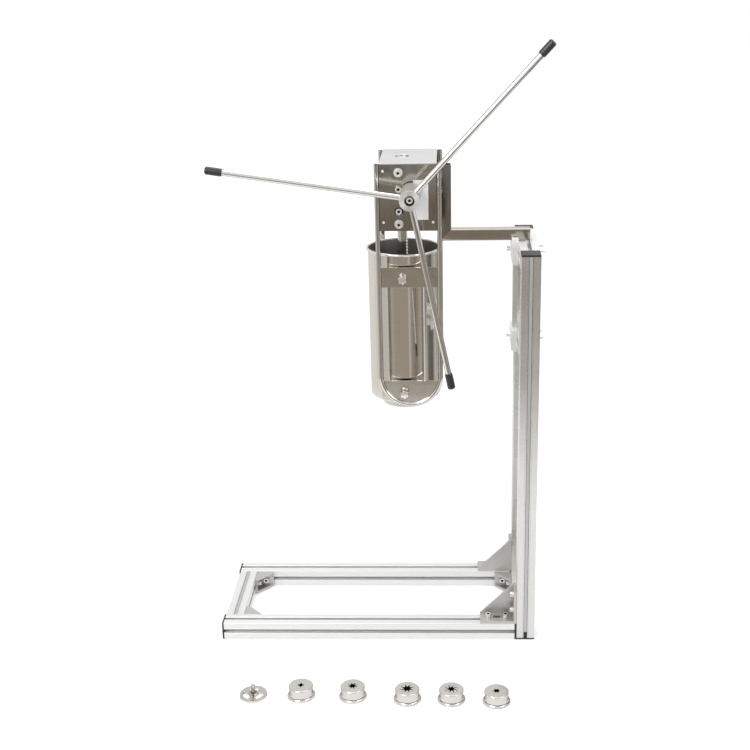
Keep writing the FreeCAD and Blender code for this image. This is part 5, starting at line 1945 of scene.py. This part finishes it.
    def ring_wall(self, name: str, count: int) -> bpy.types.Object:
        """Stand a round wall about the room's centre.

        Args:
            name: The object's name.
            count: How many flat parts it has.

        Returns:
            The wall.
        """
        work = bmesh.new()
        rows = []
        for height in (0.0, self.room_height):
            rows.append([
                work.verts.new((
                    self.centre[0] + self.room_radius * math.cos(FULL_TURN * i / count),
                    self.centre[1] + self.room_radius * math.sin(FULL_TURN * i / count),
                    height,
                ))
                for i in range(count)
            ])
        for i in range(count):
            j = (i + 1) % count
            work.faces.new((rows[0][i], rows[0][j], rows[1][j], rows[1][i]))
        return as_object(name, work)

    def ramp(
        self, tree: bpy.types.NodeTree, along: bpy.types.NodeSocket, stops: Sequence[tuple[float, Tone]]
    ) -> bpy.types.NodeSocket:
        """Spread the room's tones along a value.

        Args:
            tree: The material's tree.
            along: The socket that gives the value.
            stops: For each tone, the value that it stands at.

        Returns:
            The colour's socket.
        """
        made = add_node(tree, "ShaderNodeValToRGB", {0: along})
        bands = made.color_ramp.elements
        while len(bands) > 1:
            bands.remove(bands[-1])
        bands[0].position, bands[0].color = stops[0][0], linear(stops[0][1].value)
        for position, tone in stops[1:]:
            bands.new(position).color = linear(tone.value)
        return made.outputs[0]

    def lamp(self, name: str, at: tuple[float, float, float], size: float, power: float) -> None:
        """Hang a soft square lamp that faces the press.

        Args:
            name: Its name.
            at: Its place in metres.
            size: Its side in metres.
            power: Its power in watts.
        """
        data = bpy.data.lights.new(name, "AREA")
        data.shape = "SQUARE"
        data.size = size
        data.energy = power
        lamp = linked(name, data)
        aim = Vector(self.aim) - Vector(at)
        lamp.matrix_world = Matrix.Translation(at) @ aim.to_track_quat("-Z", "Y").to_matrix().to_4x4()

    def build(self) -> None:
        """Set up the whole studio."""
        self.world()
        self.floor()
        self.room()
        for lamp in self.lamps:
            self.lamp(*lamp)
        bpy.context.scene.view_settings.view_transform = "Standard"


@dataclass
class Camera:
    """The camera's place, angles and lens, for a frame of 750 by 750."""

    at: tuple[float, float, float] = (-0.1614, -2.5027, 1.4691)
    pitch: float = 0.331069
    yaw: float = -0.033126
    roll: float = -0.0159356
    lens: float = 58.21
    sensor: float = 36.0
    shift: tuple[float, float] = (-0.0511, -0.0177)

    def build(self) -> None:
        """Create the camera and make it the scene's."""
        data = bpy.data.cameras.new("camera")
        data.lens = self.lens
        data.sensor_width = self.sensor
        data.shift_x, data.shift_y = self.shift
        level = math.cos(self.pitch)
        forward = Vector((math.sin(self.yaw) * level, math.cos(self.yaw) * level, -math.sin(self.pitch)))
        right = Vector((math.cos(self.yaw), -math.sin(self.yaw), 0))
        up = right.cross(forward)
        across = right * math.cos(self.roll) + up * math.sin(self.roll)
        upward = up * math.cos(self.roll) - right * math.sin(self.roll)
        turn = Matrix((across, upward, -forward)).transposed().to_4x4()
        camera = linked("camera", data)
        camera.matrix_world = Matrix.Translation(self.at) @ turn
        bpy.context.scene.camera = camera


def main() -> None:
    """Build the sub-assemblies in order over the loaded frame."""
    logging.basicConfig(level=logging.INFO, format="%(name)s %(message)s")
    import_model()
    Camera().build()
    fasteners = Fasteners()
    sweep = SweptBar()
    Stand().build(fasteners)
    Hanger().build(fasteners, sweep)
    Gearbox().build(fasteners)
    HandWheel().build(fasteners)
    Plunger().build(fasteners)
    CradleAndBarrel().build(fasteners, sweep)
    LooseSet().build()
    fasteners.clear()
    Studio().build()


if __name__ == "__main__":
    main()
